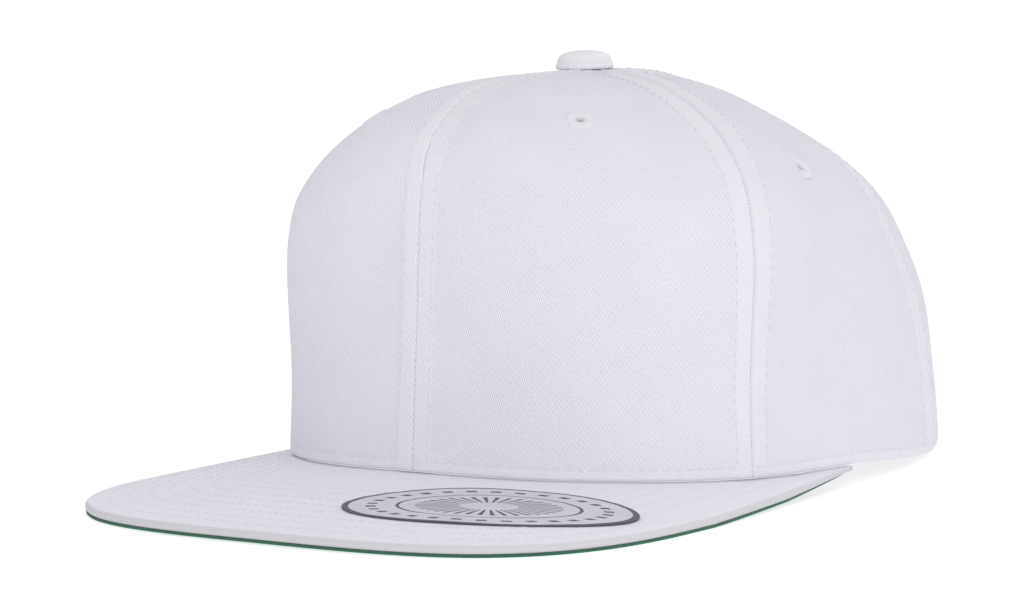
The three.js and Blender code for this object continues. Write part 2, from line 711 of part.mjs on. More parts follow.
// The sticker lies on the peak's top face and follows it
function stickerGeometry() {
  const profile = [
    new THREE.Vector2(0, 0),
    new THREE.Vector2(0.5, 0),
    new THREE.Vector2(1, 0),
    new THREE.Vector2(1, STICKER_THICKNESS),
    new THREE.Vector2(0.5, STICKER_THICKNESS),
    new THREE.Vector2(0, STICKER_THICKNESS),
  ];
  const disc = new THREE.LatheGeometry(profile, STICKER_SIDES);
  disc.scale(STICKER_LENGTH / 2, 1, STICKER_WIDTH / 2).rotateX(Math.PI / 2).rotateZ(radians(STICKER_TURN));
  disc.translate(STICKER_LEFT, -RIM_HALF_LENGTH - STICKER_OUT, 0);
  const position = disc.getAttribute("position");
  for (let i = 0; i < position.count; i++) {
    const ground = peakTop(position.getX(i), position.getY(i));
    position.setZ(i, position.getZ(i) + ground + STICKER_GAP);
  }
  return geometryOf(solidOf(disc));
}
addPiece("sticker", stickerGeometry(), 0xb9bac2, 0.4, 0.3);

// The origin is under the middle of the whole cap, peak and crown
const bounds = new THREE.Box3().setFromObject(cap);
cap.position.y = -(bounds.min.y + bounds.max.y) / 2;

export default cap;
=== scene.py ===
import math
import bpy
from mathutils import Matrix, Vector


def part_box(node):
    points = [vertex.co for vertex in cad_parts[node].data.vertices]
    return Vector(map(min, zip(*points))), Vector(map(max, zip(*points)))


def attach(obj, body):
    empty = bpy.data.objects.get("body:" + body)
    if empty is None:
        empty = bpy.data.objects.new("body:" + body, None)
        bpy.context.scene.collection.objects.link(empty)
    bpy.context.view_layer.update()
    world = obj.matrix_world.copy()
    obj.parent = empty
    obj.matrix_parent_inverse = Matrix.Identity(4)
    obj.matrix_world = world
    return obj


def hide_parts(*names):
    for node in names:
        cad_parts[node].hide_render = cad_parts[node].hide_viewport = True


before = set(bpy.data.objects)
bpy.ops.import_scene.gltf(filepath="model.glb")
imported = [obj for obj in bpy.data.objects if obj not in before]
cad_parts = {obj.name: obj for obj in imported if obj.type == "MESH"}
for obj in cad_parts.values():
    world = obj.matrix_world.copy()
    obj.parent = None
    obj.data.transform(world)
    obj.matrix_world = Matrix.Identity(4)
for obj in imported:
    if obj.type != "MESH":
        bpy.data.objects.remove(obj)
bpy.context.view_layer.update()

from types import SimpleNamespace

import bmesh
import bpy
import numpy as np
from mathutils import Quaternion, Vector
from mathutils.bvhtree import BVHTree

# Crown panels
# Six gores of white cotton twill, the front two stiffened with buckram. They are sewn edge to edge,
# the allowances are pressed open and stitched down, and the rim and the back arch are turned in.
MM = 0.001
RIM_HALF_LENGTH = 100
RIM_HALF_WIDTH = 82
RIM_FRONT_SQUARENESS = 2.6
RIM_BACK_SQUARENESS = 2
RIM_RISE = 10
CROWN_HEIGHT = 113
BUTTON_FORWARD = 18
CLOTH = 1.8
TIP_HOLE_RADIUS = 2.6
ARCH_HALF_WIDTH = 34
ARCH_HEIGHT = 45
EYELET_PUNCH_RADIUS = 2.5

# Angles round the cap are degrees from the middle of the front, positive to the wearer's left. The
# rim's rise is a share of its rise at the front, and the profile's lengths are shares of the way up
# from the rim and of the way out from the button.
RIM_LINE_ANGLES = (0, 28, 62, 82, 120, 150, 180)
RIM_LINE_RISES = (1, 0.91, 0.63, 0.55, 0.14, 0, 0)
PROFILE_ANGLES = (0, 57, 100, 135, 180)
PROFILE_UP = (0, 0.2, 0.4, 0.55, 0.66, 0.75, 0.82, 0.88, 0.925, 0.96, 0.985, 1)
PROFILE_OUT = (
    (1, 0.977, 0.949, 0.935, 0.923, 0.901, 0.872, 0.814, 0.73, 0.641, 0.475, 0),
    (1, 0.993, 1.005, 1, 0.966, 0.885, 0.77, 0.645, 0.525, 0.385, 0.178, 0),
    (1, 1, 0.993, 0.96, 0.908, 0.817, 0.702, 0.582, 0.475, 0.36, 0.22, 0),
    (1, 0.985, 0.958, 0.895, 0.826, 0.723, 0.579, 0.46, 0.385, 0.28, 0.178, 0),
    (1, 0.985, 0.96, 0.915, 0.875, 0.81, 0.685, 0.568, 0.455, 0.34, 0.22, 0),
)
LAST_ROW = len(PROFILE_UP) - 1
NORMAL_REACH = 0.4

# Soft dents: angle, profile row, spread in degrees, spread in rows, and depth, negative where it swells.
# The first three are the front panel's stiff edge, which stands out at its seam on the wearer's left.
DENTS = (
    (65, 8.3, 11, 1.6, -2.4),
    (65, 5.8, 11, 1.6, -5.44),
    (64, 3.4, 11, 1.6, -4.64),
    (108, 3.2, 8, 1.3, 0.96),
    (72, 2.4, 8, 1.1, 1.4),
    (88, 3.6, 10, 1.4, -0.8),
    (150, 7.2, 13, 1.2, 1.6),
    (-88, 5, 14, 1.5, 1),
    (-150, 6.8, 14, 1.3, 1.3),
    (172, 5.4, 10, 1.2, 0.6),
)

# The cap's middle, peak and crown together, is the frame's origin, so the opening's is a little behind
button_low, button_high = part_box("button")
OPENING_BACK = (button_low.y + button_high.y) / 2 / MM + BUTTON_FORWARD


def smooth(xs, ys, x, level_ends=False):
    """A smooth curve through the points (xs, ys), read at each x; each y may be a row of its own."""
    xs = np.asarray(xs, float)
    ys = np.asarray(ys, float)
    x = np.asarray(x, float)
    if ys.ndim == 1:
        ys = np.repeat(ys[:, None], x.size, axis=1)
    widths = np.diff(xs)
    rises = np.diff(ys, axis=0) / widths[:, None]
    slopes = np.zeros_like(ys)
    before, after = widths[:-1, None], widths[1:, None]
    slopes[1:-1] = (rises[:-1] * after + rises[1:] * before) / (before + after)
    if not level_ends:
        slopes[0], slopes[-1] = rises[0], rises[-1]
    i = np.clip(np.searchsorted(xs, x) - 1, 0, len(xs) - 2)
    t = (x - xs[i]) / widths[i]
    rest = 1 - t
    at = np.arange(x.size)
    near = ys[i, at] * (1 + 2 * t) * rest**2 + slopes[i, at] * widths[i] * t * rest**2
    far = ys[i + 1, at] * t**2 * (3 - 2 * t) - slopes[i + 1, at] * widths[i] * t**2 * rest
    return near + far


def ease(low, high, x):
    t = np.clip((np.asarray(x, float) - low) / (high - low), 0, 1)
    return t * t * (3 - 2 * t)


def side_angle(angle):
    turned = np.abs(angle) % 360
    return np.where(turned > 180, 360 - turned, turned)


def rim_point(angle):
    """The rim's outline from above, an oval that is squarer in front."""
    across = np.sin(np.radians(angle))
    ahead = np.cos(np.radians(angle))
    power = np.where(ahead > 0, RIM_FRONT_SQUARENESS, RIM_BACK_SQUARENESS)
    wide = np.abs(across / RIM_HALF_WIDTH) ** power
    long = np.abs(ahead / RIM_HALF_LENGTH) ** power
    radius = (wide + long) ** (-1 / power)
    return radius * across, -radius * ahead


def rim_height(angle):
    rises = np.array(RIM_LINE_RISES) * RIM_RISE
    return np.maximum(0, smooth(RIM_LINE_ANGLES, rises, side_angle(angle), level_ends=True))


def form_point(angle, row):
    """Points of the crown's smooth outer form, in millimetres from the middle of the opening."""
    angle, row = np.broadcast_arrays(np.asarray(angle, float), np.asarray(row, float))
    shape = angle.shape
    angle, row = angle.ravel(), row.ravel()
    rows = np.arange(LAST_ROW + 1)
    shares = np.stack([smooth(rows, column, row) for column in PROFILE_OUT])
    reach = smooth(PROFILE_ANGLES, shares, side_angle(angle), level_ends=True)
    rim_x, rim_y = rim_point(angle)
    foot = rim_height(angle)
    up = smooth(rows, PROFILE_UP, row)
    x = reach * rim_x
    y = -BUTTON_FORWARD + reach * (rim_y + BUTTON_FORWARD)
    z = foot + (CROWN_HEIGHT - foot) * up
    return np.stack([x, y, z], axis=-1).reshape(*shape, 3)


def unit(vectors):
    return vectors / np.maximum(np.linalg.norm(vectors, axis=-1, keepdims=True), 1e-9)


def form_normal(angle, row):
    """The crown's outward direction, level at the rim."""
    angle, row = np.broadcast_arrays(np.asarray(angle, float), np.asarray(row, float))
    low = np.maximum(row - NORMAL_REACH, 0)
    high = np.minimum(row + NORMAL_REACH, LAST_ROW - 0.05)
    along = form_point(angle + 1, row) - form_point(angle - 1, row)
    up = form_point(angle, high) - form_point(angle, low)
    normal = unit(np.cross(along, up))
    normal[..., 2] *= np.minimum(1, row)
    return unit(normal)


def dent_depth(angle, row):
    depth = 0
    for middle, middle_row, spread, rows, deepest in DENTS:
        turned = (np.asarray(angle) - middle + 540) % 360 - 180
        depth = depth + deepest * np.exp(-((turned / spread) ** 2) - ((row - middle_row) / rows) ** 2)
    return depth


# The seams' angles at these rows of the profile, and the panels between them, each with its eyelet's
# row and share of the way across
SEAM_ROWS = (0, 1.4, 2.4, 3.5, 5, 6.5, 11)
SIDE_SEAM = np.array((56, 56, 56, 56, 57, 58, 58))
BACK_SEAM = np.array((119, 114.5, 109, 106, 107, 108.5, 108))
STRAIGHT = np.ones(len(SEAM_ROWS))
SEAMS = {
    "front": 0 * STRAIGHT,
    "left": SIDE_SEAM,
    "back_left": BACK_SEAM,
    "back": 180 * STRAIGHT,
    "right": -SIDE_SEAM,
    "back_right": -BACK_SEAM,
    "behind": -180 * STRAIGHT,
}
PANELS = {
    "front_left": ("front", "left", 7.3, 0.5),
    "front_right": ("right", "front", 7.3, 0.5),
    "side_left": ("left", "back_left", 4.9, 0.38),
    "side_right": ("back_right", "right", 4.9, 0.62),
    "back_left": ("back_left", "back", 6, 0.5),
    "back_right": ("behind", "back_right", 6, 0.5),
}

# Distances in from a seam at which the cloth's edge needs columns, and up from the hem for its rows
SEAM_ALLOWANCE = 5
SEAM_STEPS = (0, 0.12, 0.26, 0.42, 0.62, 0.9, 1.4, 2.1, 3, 3.9, 4.5, 4.8, 5, 5.2, 5.5, 5.8, 6.2, 6.8, 7.6)
HEM_STEPS = (0, 0.12, 0.35, 0.7, 1.1, 1.6, 2.1, 2.5, 2.8, 3, 3.2, 3.5, 4, 4.8, 6)
HEM_STITCH_HEIGHT = 3
SEAM_STITCH_STEP = SEAM_STEPS.index(SEAM_ALLOWANCE)
HEM_STITCH_STEP = HEM_STEPS.index(HEM_STITCH_HEIGHT)
PANEL_MIDDLE_COLUMNS = 48
PANEL_UPPER_ROWS = 150
ARCH_COLUMN_STEPS = (-7, -5.4, -4.2, -3.2, -2.4, -1.7, -1.1, -0.7, -0.4, -0.2, -0.06, 0, 0.3, 0.7, 1.2)
SEAM_GAP = 0.02
SEAM_SINK = 0.22
SEAM_GROOVE = 0.26
SIDE_SINK = 1
SIDE_SINK_PLACE = 9
SIDE_SINK_SPREAD = 3.2
ALLOWANCE_RISE = 0.32
STITCH_SINK = 0.12
SEAM_STITCH_SPREAD = 0.5
HEM_STITCH_SPREAD = 0.6
PUCKER_DEPTH = 0.05
PUCKER_PITCH = 6.4
PUCKER_SPREAD = 2.5
WAVES = ((0.22, 17, 0), (0.1, 7, 40))
HEM_CURL = 1.3
HEM_CURL_HEIGHT = 5
HEM_CURL_OVER_PEAK = 0.35
HEM_CURL_ANGLES = (62, 100)
SHELL_SHARP_ANGLE = 55
# Near the tip the steps in from both seams shrink to this share of the panel's width
EDGE_STEPS_MOST = 0.42
SHARE_SAMPLES = 61
ROW_SAMPLES = 300
ARCH_SLANT = 1.021


def panel_angle(panel, share, row):
    start, end, _, _ = PANELS[panel]
    row = np.asarray(row, float)
    first = smooth(SEAM_ROWS, SEAMS[start], row.ravel()).reshape(row.shape)
    last = smooth(SEAM_ROWS, SEAMS[end], row.ravel()).reshape(row.shape)
    return first + (last - first) * share


def column_shares(panel, rows):
    """Each column's share of the way across a panel at each row, and its distances to both seams."""
    shares = np.linspace(0, 1, SHARE_SAMPLES)
    steps = np.array(SEAM_STEPS)
    found, left, right = [], [], []
    middles = np.linspace(0, 1, PANEL_MIDDLE_COLUMNS + 2)[1:-1]
    for i, row in enumerate(rows):
        points = form_point(panel_angle(panel, shares, row), row)
        length = np.concatenate([[0], np.cumsum(np.linalg.norm(np.diff(points, axis=0), axis=1))])
        width = length[-1] - 2 * SEAM_GAP
        if i == 0 and panel.startswith("back"):
            from_back_seam = ARCH_HALF_WIDTH * ARCH_SLANT
            arch_side = width - from_back_seam if panel == "back_left" else from_back_seam
            extra = (arch_side + np.array(ARCH_COLUMN_STEPS) - steps[-1]) / (width - 2 * steps[-1])
            middles = np.sort(np.concatenate([middles, extra]))
        edge = steps * min(1, EDGE_STEPS_MOST * width / steps[-1])
        inner = edge[-1] + middles * (width - 2 * edge[-1])
        places = np.concatenate([edge, inner, width - edge[::-1]])
        found.append(np.interp(places + SEAM_GAP, length, shares))
        left.append(places)
        right.append(width - places)
    return np.array(found), np.array(left), np.array(right)


def arch_reach(points):
    """How far, in millimetres, points lie outside the arched opening at the back."""
    x, z = points[..., 0] / ARCH_HALF_WIDTH, points[..., 2] / ARCH_HEIGHT
    round_reach = np.sqrt(x**2 + z**2)
    slope = np.sqrt((x / ARCH_HALF_WIDTH) ** 2 + (z / ARCH_HEIGHT) ** 2) / np.maximum(round_reach, 1e-6)
    reach = (round_reach - 1) / np.maximum(slope, 1e-6)
    return np.where(points[..., 1] > 0, reach, 1e3)


def cloth_waves(points, size):
    """A gentle unevenness of a cloth's surface, from -1 to 1, with waves of about that size."""
    x, y, z = (points[..., i] / size for i in range(3))
    waves = np.sin(2.1 * x + 1.3 * np.sin(1.7 * z + 0.6 * y)) + np.sin(1.9 * y - 1.1 * np.sin(1.3 * x))
    return (waves + np.sin(2.3 * z + 1.4 * np.sin(1.1 * y + 0.4 * x))) / 3


def along_rows(table, rows, dense):
    """A table's values, one column of it for each column of the panel, read at that column's own rows."""
    return np.array([np.interp(rows[j], dense, table[:, j]) for j in range(len(rows))])


def climb_along(points):
    """The way up along each column of points, from its first one."""
    steps = np.linalg.norm(np.diff(points, axis=1), axis=2)
    return np.concatenate([np.zeros((len(points), 1)), steps.cumsum(axis=1)], axis=1)


def panel_cloth(panel):
    """A panel's grid, column by column: form points, normals, and distances to its seams and edges."""
    cloth = SimpleNamespace()
    dense = np.linspace(0, LAST_ROW, ROW_SAMPLES)
    shares, left, right = column_shares(panel, dense)
    angles = panel_angle(panel, shares.T, dense)
    rims = form_point(angles, dense)
    start = np.zeros(len(rims))
    if panel.startswith("back"):
        outside = arch_reach(rims) >= 0
        first = np.where(outside.all(axis=1), 0, outside.shape[1] - np.argmax(~outside[:, ::-1], axis=1))
        for j, k in enumerate(first):
            if k > 0:
                inner_reach, outer_reach = arch_reach(rims[j, k - 1 : k + 1])
                start[j] = np.interp(0, [inner_reach, outer_reach], dense[k - 1 : k + 1])
    top = form_point(0, LAST_ROW - 1)
    end = LAST_ROW - TIP_HOLE_RADIUS / np.hypot(top[0], top[1] + BUTTON_FORWARD)
    rows = start[:, None] + (end - start)[:, None] * np.linspace(0, 1, ROW_SAMPLES)
    points = form_point(panel_angle(panel, along_rows(shares, rows, dense), rows), rows)
    climb = climb_along(points)
    hem = np.array(HEM_STEPS)
    above = np.linspace(0, 1, PANEL_UPPER_ROWS + 1)[1:]
    hem_heights = np.repeat(hem[None], len(points), axis=0)
    cloth.height = np.concatenate([hem_heights, hem[-1] + (climb[:, -1:] - hem[-1]) * above], axis=1)
    columns = range(len(points))
    cloth.rows = np.array([np.interp(cloth.height[j], climb[j], rows[j]) for j in columns])
    whole_climb = climb_along(rims)
    below = np.array([np.interp(start[j], dense, whole_climb[j]) for j in columns])
    cloth.from_rim = cloth.height + below[:, None]
    cloth.angles = panel_angle(panel, along_rows(shares, cloth.rows, dense), cloth.rows)
    cloth.form = form_point(cloth.angles, cloth.rows)
    cloth.normal = form_normal(cloth.angles, cloth.rows)
    cloth.from_left = along_rows(left, cloth.rows, dense)
    cloth.from_right = along_rows(right, cloth.rows, dense)
    cloth.from_seam = np.minimum(cloth.from_left, cloth.from_right)
    cloth.from_edge = np.minimum(cloth.height, np.maximum(arch_reach(cloth.form), 0))
    return cloth


def hem_curl(angle, height):
    """How far the hem rolls inward: little over the peak, more round the sides and the back."""
    most = HEM_CURL_OVER_PEAK + (HEM_CURL - HEM_CURL_OVER_PEAK) * ease(*HEM_CURL_ANGLES, side_angle(angle))
    low = np.clip(1 - height / HEM_CURL_HEIGHT, 0, 1)
    return most * (1 - np.sqrt(np.maximum(0, 1 - low**2)))


def side_sink(panel, cloth):
    """The soft side panels sink a little beside the stiff front panels' seams, over the crown's shoulder."""
    if panel not in ("side_left", "side_right"):
        return 0
    beside = cloth.from_left if panel == "side_left" else cloth.from_right
    over_shoulder = ease(4.2, 6, cloth.rows) * (1 - ease(9.4, 10.4, cloth.rows))
    return SIDE_SINK * over_shoulder * np.exp(-(((beside - SIDE_SINK_PLACE) / SIDE_SINK_SPREAD) ** 2))


def panel_relief(panel, cloth):
    """How far the outer face stands out from the crown's form, in millimetres."""
    seam = cloth.from_seam
    groove = -SEAM_SINK * np.exp(-((seam / SEAM_GROOVE) ** 2))
    strip = ALLOWANCE_RISE * ease(0.1, 0.6, seam) * (1 - ease(5, 6, seam))
    from_stitches = seam - SEAM_ALLOWANCE
    from_hem_stitches = cloth.from_edge - HEM_STITCH_HEIGHT
    stitched = -STITCH_SINK * np.exp(-((from_stitches / SEAM_STITCH_SPREAD) ** 2))
    hem_stitched = -STITCH_SINK * np.exp(-((from_hem_stitches / HEM_STITCH_SPREAD) ** 2))
    puckers = np.sin(cloth.height * 2 * math.pi / PUCKER_PITCH)
    pucker = PUCKER_DEPTH * puckers * np.exp(-((from_stitches / PUCKER_SPREAD) ** 2))
    waves = sum(deep * cloth_waves(cloth.form + shift, size) for deep, size, shift in WAVES)
    sunk = dent_depth(cloth.angles, cloth.rows) + side_sink(panel, cloth)
    return groove + strip + stitched + hem_stitched + pucker + waves - sunk


def in_frame(points):
    """Millimetres from the middle of the opening, as metres in the frame."""
    return (np.asarray(points, float) + (0, OPENING_BACK, 0)) * MM


def lay_pattern(mesh, layer_name, flat):
    """Gives each point of a mesh its place on the flat cloth, in the layer's own units."""
    corner_points = np.zeros(len(mesh.loops), int)
    mesh.loops.foreach_get("vertex_index", corner_points)
    mesh.uv_layers.new(name=layer_name).data.foreach_set("uv", flat[corner_points].ravel())


def smooth_mesh(name, points, faces, sharp_angle=None):
    """A smooth-shaded mesh from millimetre points; edges bent by more than sharp_angle degrees stay sharp."""
    mesh = bpy.data.meshes.new(name)
    mesh.from_pydata(in_frame(points).tolist(), [], faces)
    mesh.polygons.foreach_set("use_smooth", [True] * len(mesh.polygons))
    if sharp_angle:
        mesh.set_sharp_from_angle(angle=math.radians(sharp_angle))
    return mesh


def shell_mesh(name, outer, inner, kept=None, marks=None, pattern=None):
    """A closed sheet between two grids of points. Quads that aren't kept leave a hole through it."""
    columns, rows = outer.shape[:2]
    kept = np.ones((columns - 1, rows - 1), bool) if kept is None else kept
    number = np.arange(columns * rows).reshape(columns, rows)
    corners = (number[:-1, :-1], number[1:, :-1], number[1:, 1:], number[:-1, 1:])
    front = np.stack([corner[kept] for corner in corners], axis=1)
    back = front[:, ::-1] + columns * rows
    padded = np.pad(kept, 1)
    walls = []
    sides = (
        (padded[1:-1, :-2], corners[0], corners[1]),
        (padded[2:, 1:-1], corners[1], corners[2]),
        (padded[1:-1, 2:], corners[2], corners[3]),
        (padded[:-2, 1:-1], corners[3], corners[0]),
    )
    for neighbour, first, second in sides:
        open_side = kept & ~neighbour
        a, b = first[open_side], second[open_side]
        walls.append(np.stack([b, a, a + columns * rows, b + columns * rows], axis=1))
    faces = np.concatenate([front, back, *walls])
    vertices = np.concatenate([outer.reshape(-1, 3), inner.reshape(-1, 3)])
    used = np.unique(faces)
    renumber = np.zeros(len(vertices), int)
    renumber[used] = np.arange(len(used))
    mesh = smooth_mesh(name, vertices[used], renumber[faces].tolist(), SHELL_SHARP_ANGLE)
    if pattern is not None:
        both = np.concatenate([pattern.reshape(-1, 2), pattern.reshape(-1, 2)])[used] * MM
        lay_pattern(mesh, "cloth", both)
    if marks is not None:
        both = np.concatenate([marks.ravel(), np.zeros(marks.size)])[used]
        mesh.attributes.new("strip", "FLOAT", "POINT").data.foreach_set("value", both)
    return mesh


def add_piece(name, mesh, material, slot, *nodes):
    piece = bpy.data.objects.new(name, mesh)
    bpy.context.scene.collection.objects.link(piece)
    mesh.materials.clear()
    mesh.materials.append(material)
    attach(piece, "root")
    if nodes:
        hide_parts(*nodes)
    return piece


def maths(tree, operation, *values):
    """A maths node whose inputs are numbers or other nodes' outputs; gives its output."""
    node = tree.nodes.new("ShaderNodeMath")
    node.operation = operation
    for socket, value in zip(node.inputs, values):
        if isinstance(value, (int, float)):
            socket.default_value = value
        else:
            tree.links.new(value, socket)
    return node.outputs[0]


# Shares of a twill ridge's height: how loosely the yarn lies, how deep its floats dip, and its fuzz
YARN_LOOSENESS = 1.6
FLOAT_DEPTH = 0.32
FUZZ = 0.25
SLUB_SHOWS = 0.2


def noise(tree, vector, scale, detail):
    node = tree.nodes.new("ShaderNodeTexNoise")
    node.inputs["Scale"].default_value = scale
    node.inputs["Detail"].default_value = detail
    tree.links.new(vector, node.inputs["Vector"])
    return node.outputs[0]


def split(tree, vector):
    node = tree.nodes.new("ShaderNodeSeparateXYZ")
    tree.links.new(vector, node.inputs[0])
    return node.outputs


def mixed(tree, factor, low, high):
    """A colour between two others, each a plain colour or another node's output."""
    node = tree.nodes.new("ShaderNodeMix")
    node.data_type = "RGBA"
    tree.links.new(factor, node.inputs["Factor"])
    for socket, colour in ((node.inputs["A"], low), (node.inputs["B"], high)):
        if isinstance(colour, tuple):
            socket.default_value = (*colour, 1)
        else:
            tree.links.new(colour, socket)
    return node.outputs["Result"]


def raise_bump(tree, shader, height, depth, strength=1):
    node = tree.nodes.new("ShaderNodeBump")
    node.inputs["Strength"].default_value = strength
    node.inputs["Distance"].default_value = depth * MM
    tree.links.new(height, node.inputs["Height"])
    tree.links.new(node.outputs[0], shader.inputs["Normal"])


def new_material(name):
    material = bpy.data.materials.new(name)
    material.use_nodes = True
    return material, material.node_tree, material.node_tree.nodes["Principled BSDF"]


def twill_group():
    """The weave of twill: steep diagonal ridges, each made of short floats, on even yarn."""
    group = bpy.data.node_groups.new("twill", "ShaderNodeTree")
    for label, kind in (("Vector", "Vector"), ("Pitch", "Float"), ("Lean", "Float")):
        group.interface.new_socket(label, in_out="INPUT", socket_type="NodeSocket" + kind)
    for label in ("Height", "Slub"):
        group.interface.new_socket(label, in_out="OUTPUT", socket_type="NodeSocketFloat")
    start, end = group.nodes.new("NodeGroupInput"), group.nodes.new("NodeGroupOutput")
    place, pitch = start.outputs["Vector"], start.outputs["Pitch"]
    turn = group.nodes.new("ShaderNodeVectorRotate")
    turn.rotation_type = "Z_AXIS"
    group.links.new(place, turn.inputs["Vector"])
    group.links.new(start.outputs["Lean"], turn.inputs["Angle"])
    wobble = maths(group, "SUBTRACT", noise(group, place, scale=900, detail=1), 0.5)
    loose = maths(group, "MULTIPLY", wobble, YARN_LOOSENESS)
    ridges_across = maths(group, "DIVIDE", split(group, turn.outputs[0])[0], pitch)
    across = maths(group, "MULTIPLY", ridges_across, 2 * math.pi)
    ridge = maths(group, "COSINE", maths(group, "ADD", across, loose))
    along = maths(group, "MULTIPLY", maths(group, "DIVIDE", split(group, place)[1], pitch), math.pi)
    floats = maths(group, "COSINE", maths(group, "MULTIPLY_ADD", across, 0.5, along))
    ridge_up = maths(group, "MULTIPLY_ADD", ridge, 0.5, 0.5)
    floats_up = maths(group, "MULTIPLY_ADD", floats, FLOAT_DEPTH, 1 - FLOAT_DEPTH)
    woven = maths(group, "MULTIPLY", ridge_up, floats_up)
    fuzz = noise(group, place, scale=3500, detail=2)
    group.links.new(maths(group, "MULTIPLY_ADD", fuzz, FUZZ, woven), end.inputs["Height"])
    group.links.new(noise(group, place, scale=60, detail=4), end.inputs["Slub"])
    return group


TWILL = twill_group()


def cloth_material(name, low, high, pitch=0.6, lean=-21, depth=0.1, sheen=0.1, strip=None):
    """Twill in two tones: low in the weave's grooves, high on its ridges, so the grooves carry painted shade.
    strip is the tone of the marked strip: the doubled cloth beside a seam, or the painted shade of the peak's
    turned-down edge."""
    material, tree, shader = new_material(name)
    shader.inputs["Roughness"].default_value = 0.92
    shader.inputs["Specular IOR Level"].default_value = 0.25
    shader.inputs["Sheen Weight"].default_value = sheen
    shader.inputs["Sheen Roughness"].default_value = 0.6
    cloth = tree.nodes.new("ShaderNodeUVMap")
    cloth.uv_map = "cloth"
    weave = tree.nodes.new("ShaderNodeGroup")
    weave.node_tree = TWILL
    weave.inputs["Pitch"].default_value = pitch * MM
    weave.inputs["Lean"].default_value = math.radians(lean)
    tree.links.new(cloth.outputs["UV"], weave.inputs["Vector"])
    slub = maths(tree, "MULTIPLY_ADD", weave.outputs["Slub"], SLUB_SHOWS, -SLUB_SHOWS / 2)
    # The darker tone in the weave's grooves is painted shade; the slub's tone varies at random
    colour = mixed(tree, maths(tree, "ADD", weave.outputs["Height"], slub), low, high)
    if strip:
        # The strip tone: doubled cloth on the crown, painted shade on the peak's turned-down edge
        marks = tree.nodes.new("ShaderNodeAttribute")
        marks.attribute_name = "strip"
        colour = mixed(tree, marks.outputs["Fac"], colour, strip)
    tree.links.new(colour, shader.inputs["Base Color"])
    raise_bump(tree, shader, weave.outputs["Height"], depth)
    return material


# The twill in front is drawn tight over the buckram, so its weave shows more than round the sides. The soft
# twill round the sides and the back is also painted darker overall: painted shade, as those panels catch less
# light.
STRIP_SHOWS = 0.3
WHITE_LOW = (0.61, 0.607, 0.68)
WHITE_HIGH = (0.92, 0.915, 0.99)
WHITE_DOUBLED = (0.84, 0.835, 0.87)
SOFT_SHADED_LOW = (0.63, 0.626, 0.69)
SOFT_SHADED_HIGH = (0.82, 0.815, 0.893)
white_twill = cloth_material("white twill", WHITE_LOW, WHITE_HIGH, strip=WHITE_DOUBLED)
shaded_soft_twill = cloth_material("soft white twill with painted shade", SOFT_SHADED_LOW, SOFT_SHADED_HIGH, depth=0.07, strip=WHITE_DOUBLED)

panel_cloths = {}
for panel, (_, _, eyelet_row, eyelet_share) in PANELS.items():
    cloth = panel_cloth(panel)
    panel_cloths[panel] = cloth
    relief = panel_relief(panel, cloth)
    curl = hem_curl(cloth.angles, cloth.from_edge)
    rounding = np.clip(CLOTH / 2 - cloth.from_edge, 0, CLOTH / 2)
    lip = CLOTH / 2 - np.sqrt((CLOTH / 2) ** 2 - rounding**2)
    cloth.outer = cloth.form + cloth.normal * (relief - curl - lip)[..., None]
    inner_depth = CLOTH + dent_depth(cloth.angles, cloth.rows) + side_sink(panel, cloth) + curl - lip
    cloth.inner = cloth.form - cloth.normal * inner_depth[..., None]
    cloth.eyelet_angle = float(panel_angle(panel, eyelet_share, eyelet_row))
    middle = form_point(cloth.eyelet_angle, eyelet_row)
    centres = (cloth.form[:-1, :-1] + cloth.form[1:, 1:]) / 2
    kept = np.linalg.norm(centres - middle, axis=2) > EYELET_PUNCH_RADIUS
    strip = ease(0.05, 0.3, cloth.from_seam) * (1 - ease(4.2, 6.2, cloth.from_seam))
    strip = np.maximum(strip, 1 - ease(2.2, 4, cloth.from_edge))
    across = (cloth.from_left - cloth.from_right) / 2
    pattern = np.stack([across, cloth.from_rim], axis=-1)
    mesh = shell_mesh(f"cloth_{panel}", cloth.outer, cloth.inner, kept, STRIP_SHOWS * strip, pattern)
    # Side and back panels take the soft twill with its painted shade
    twill = white_twill if panel.startswith("front") else shaded_soft_twill
    add_piece(f"crown_{panel}", mesh, twill, "crown_cloth", f"panel_{panel}")

# Crown topstitching
# White polyester sewing thread. One row of lockstitch holds the pressed allowance on each side of every
# seam, and another runs round the rim and the arch just above the fold.
STITCH_PITCH = 3.2
STITCH_LENGTH = 2.5
THREAD_RADIUS = 0.13
THREAD_SIDES = 6
THREAD_SHADE = 0.86
THREAD_FIBRE_DEPTH = 0.05
# Along a stitch, from end to end, and how high it stands there, as shares of its length and radius
STITCH_STATIONS = (-0.5, -0.3, 0, 0.3, 0.5)
STITCH_LIFTS = (-1.2, 0.55, 0.9, 0.55, -1.2)
CLEAR_OF_BUTTON = 10


def thread_material(name, colour):
    material, tree, shader = new_material(name)
    shader.inputs["Roughness"].default_value = 0.6
    shader.inputs["Sheen Weight"].default_value = 0.2
    place = tree.nodes.new("ShaderNodeTexCoord").outputs["Object"]
    fibres = noise(tree, place, scale=2500, detail=2)
    between_fibres = tuple(THREAD_SHADE * part for part in colour)
    tree.links.new(mixed(tree, fibres, between_fibres, colour), shader.inputs["Base Color"])
    raise_bump(tree, shader, fibres, THREAD_FIBRE_DEPTH, strength=0.6)
    return material


white_thread = thread_material("white thread", (0.79, 0.785, 0.84))


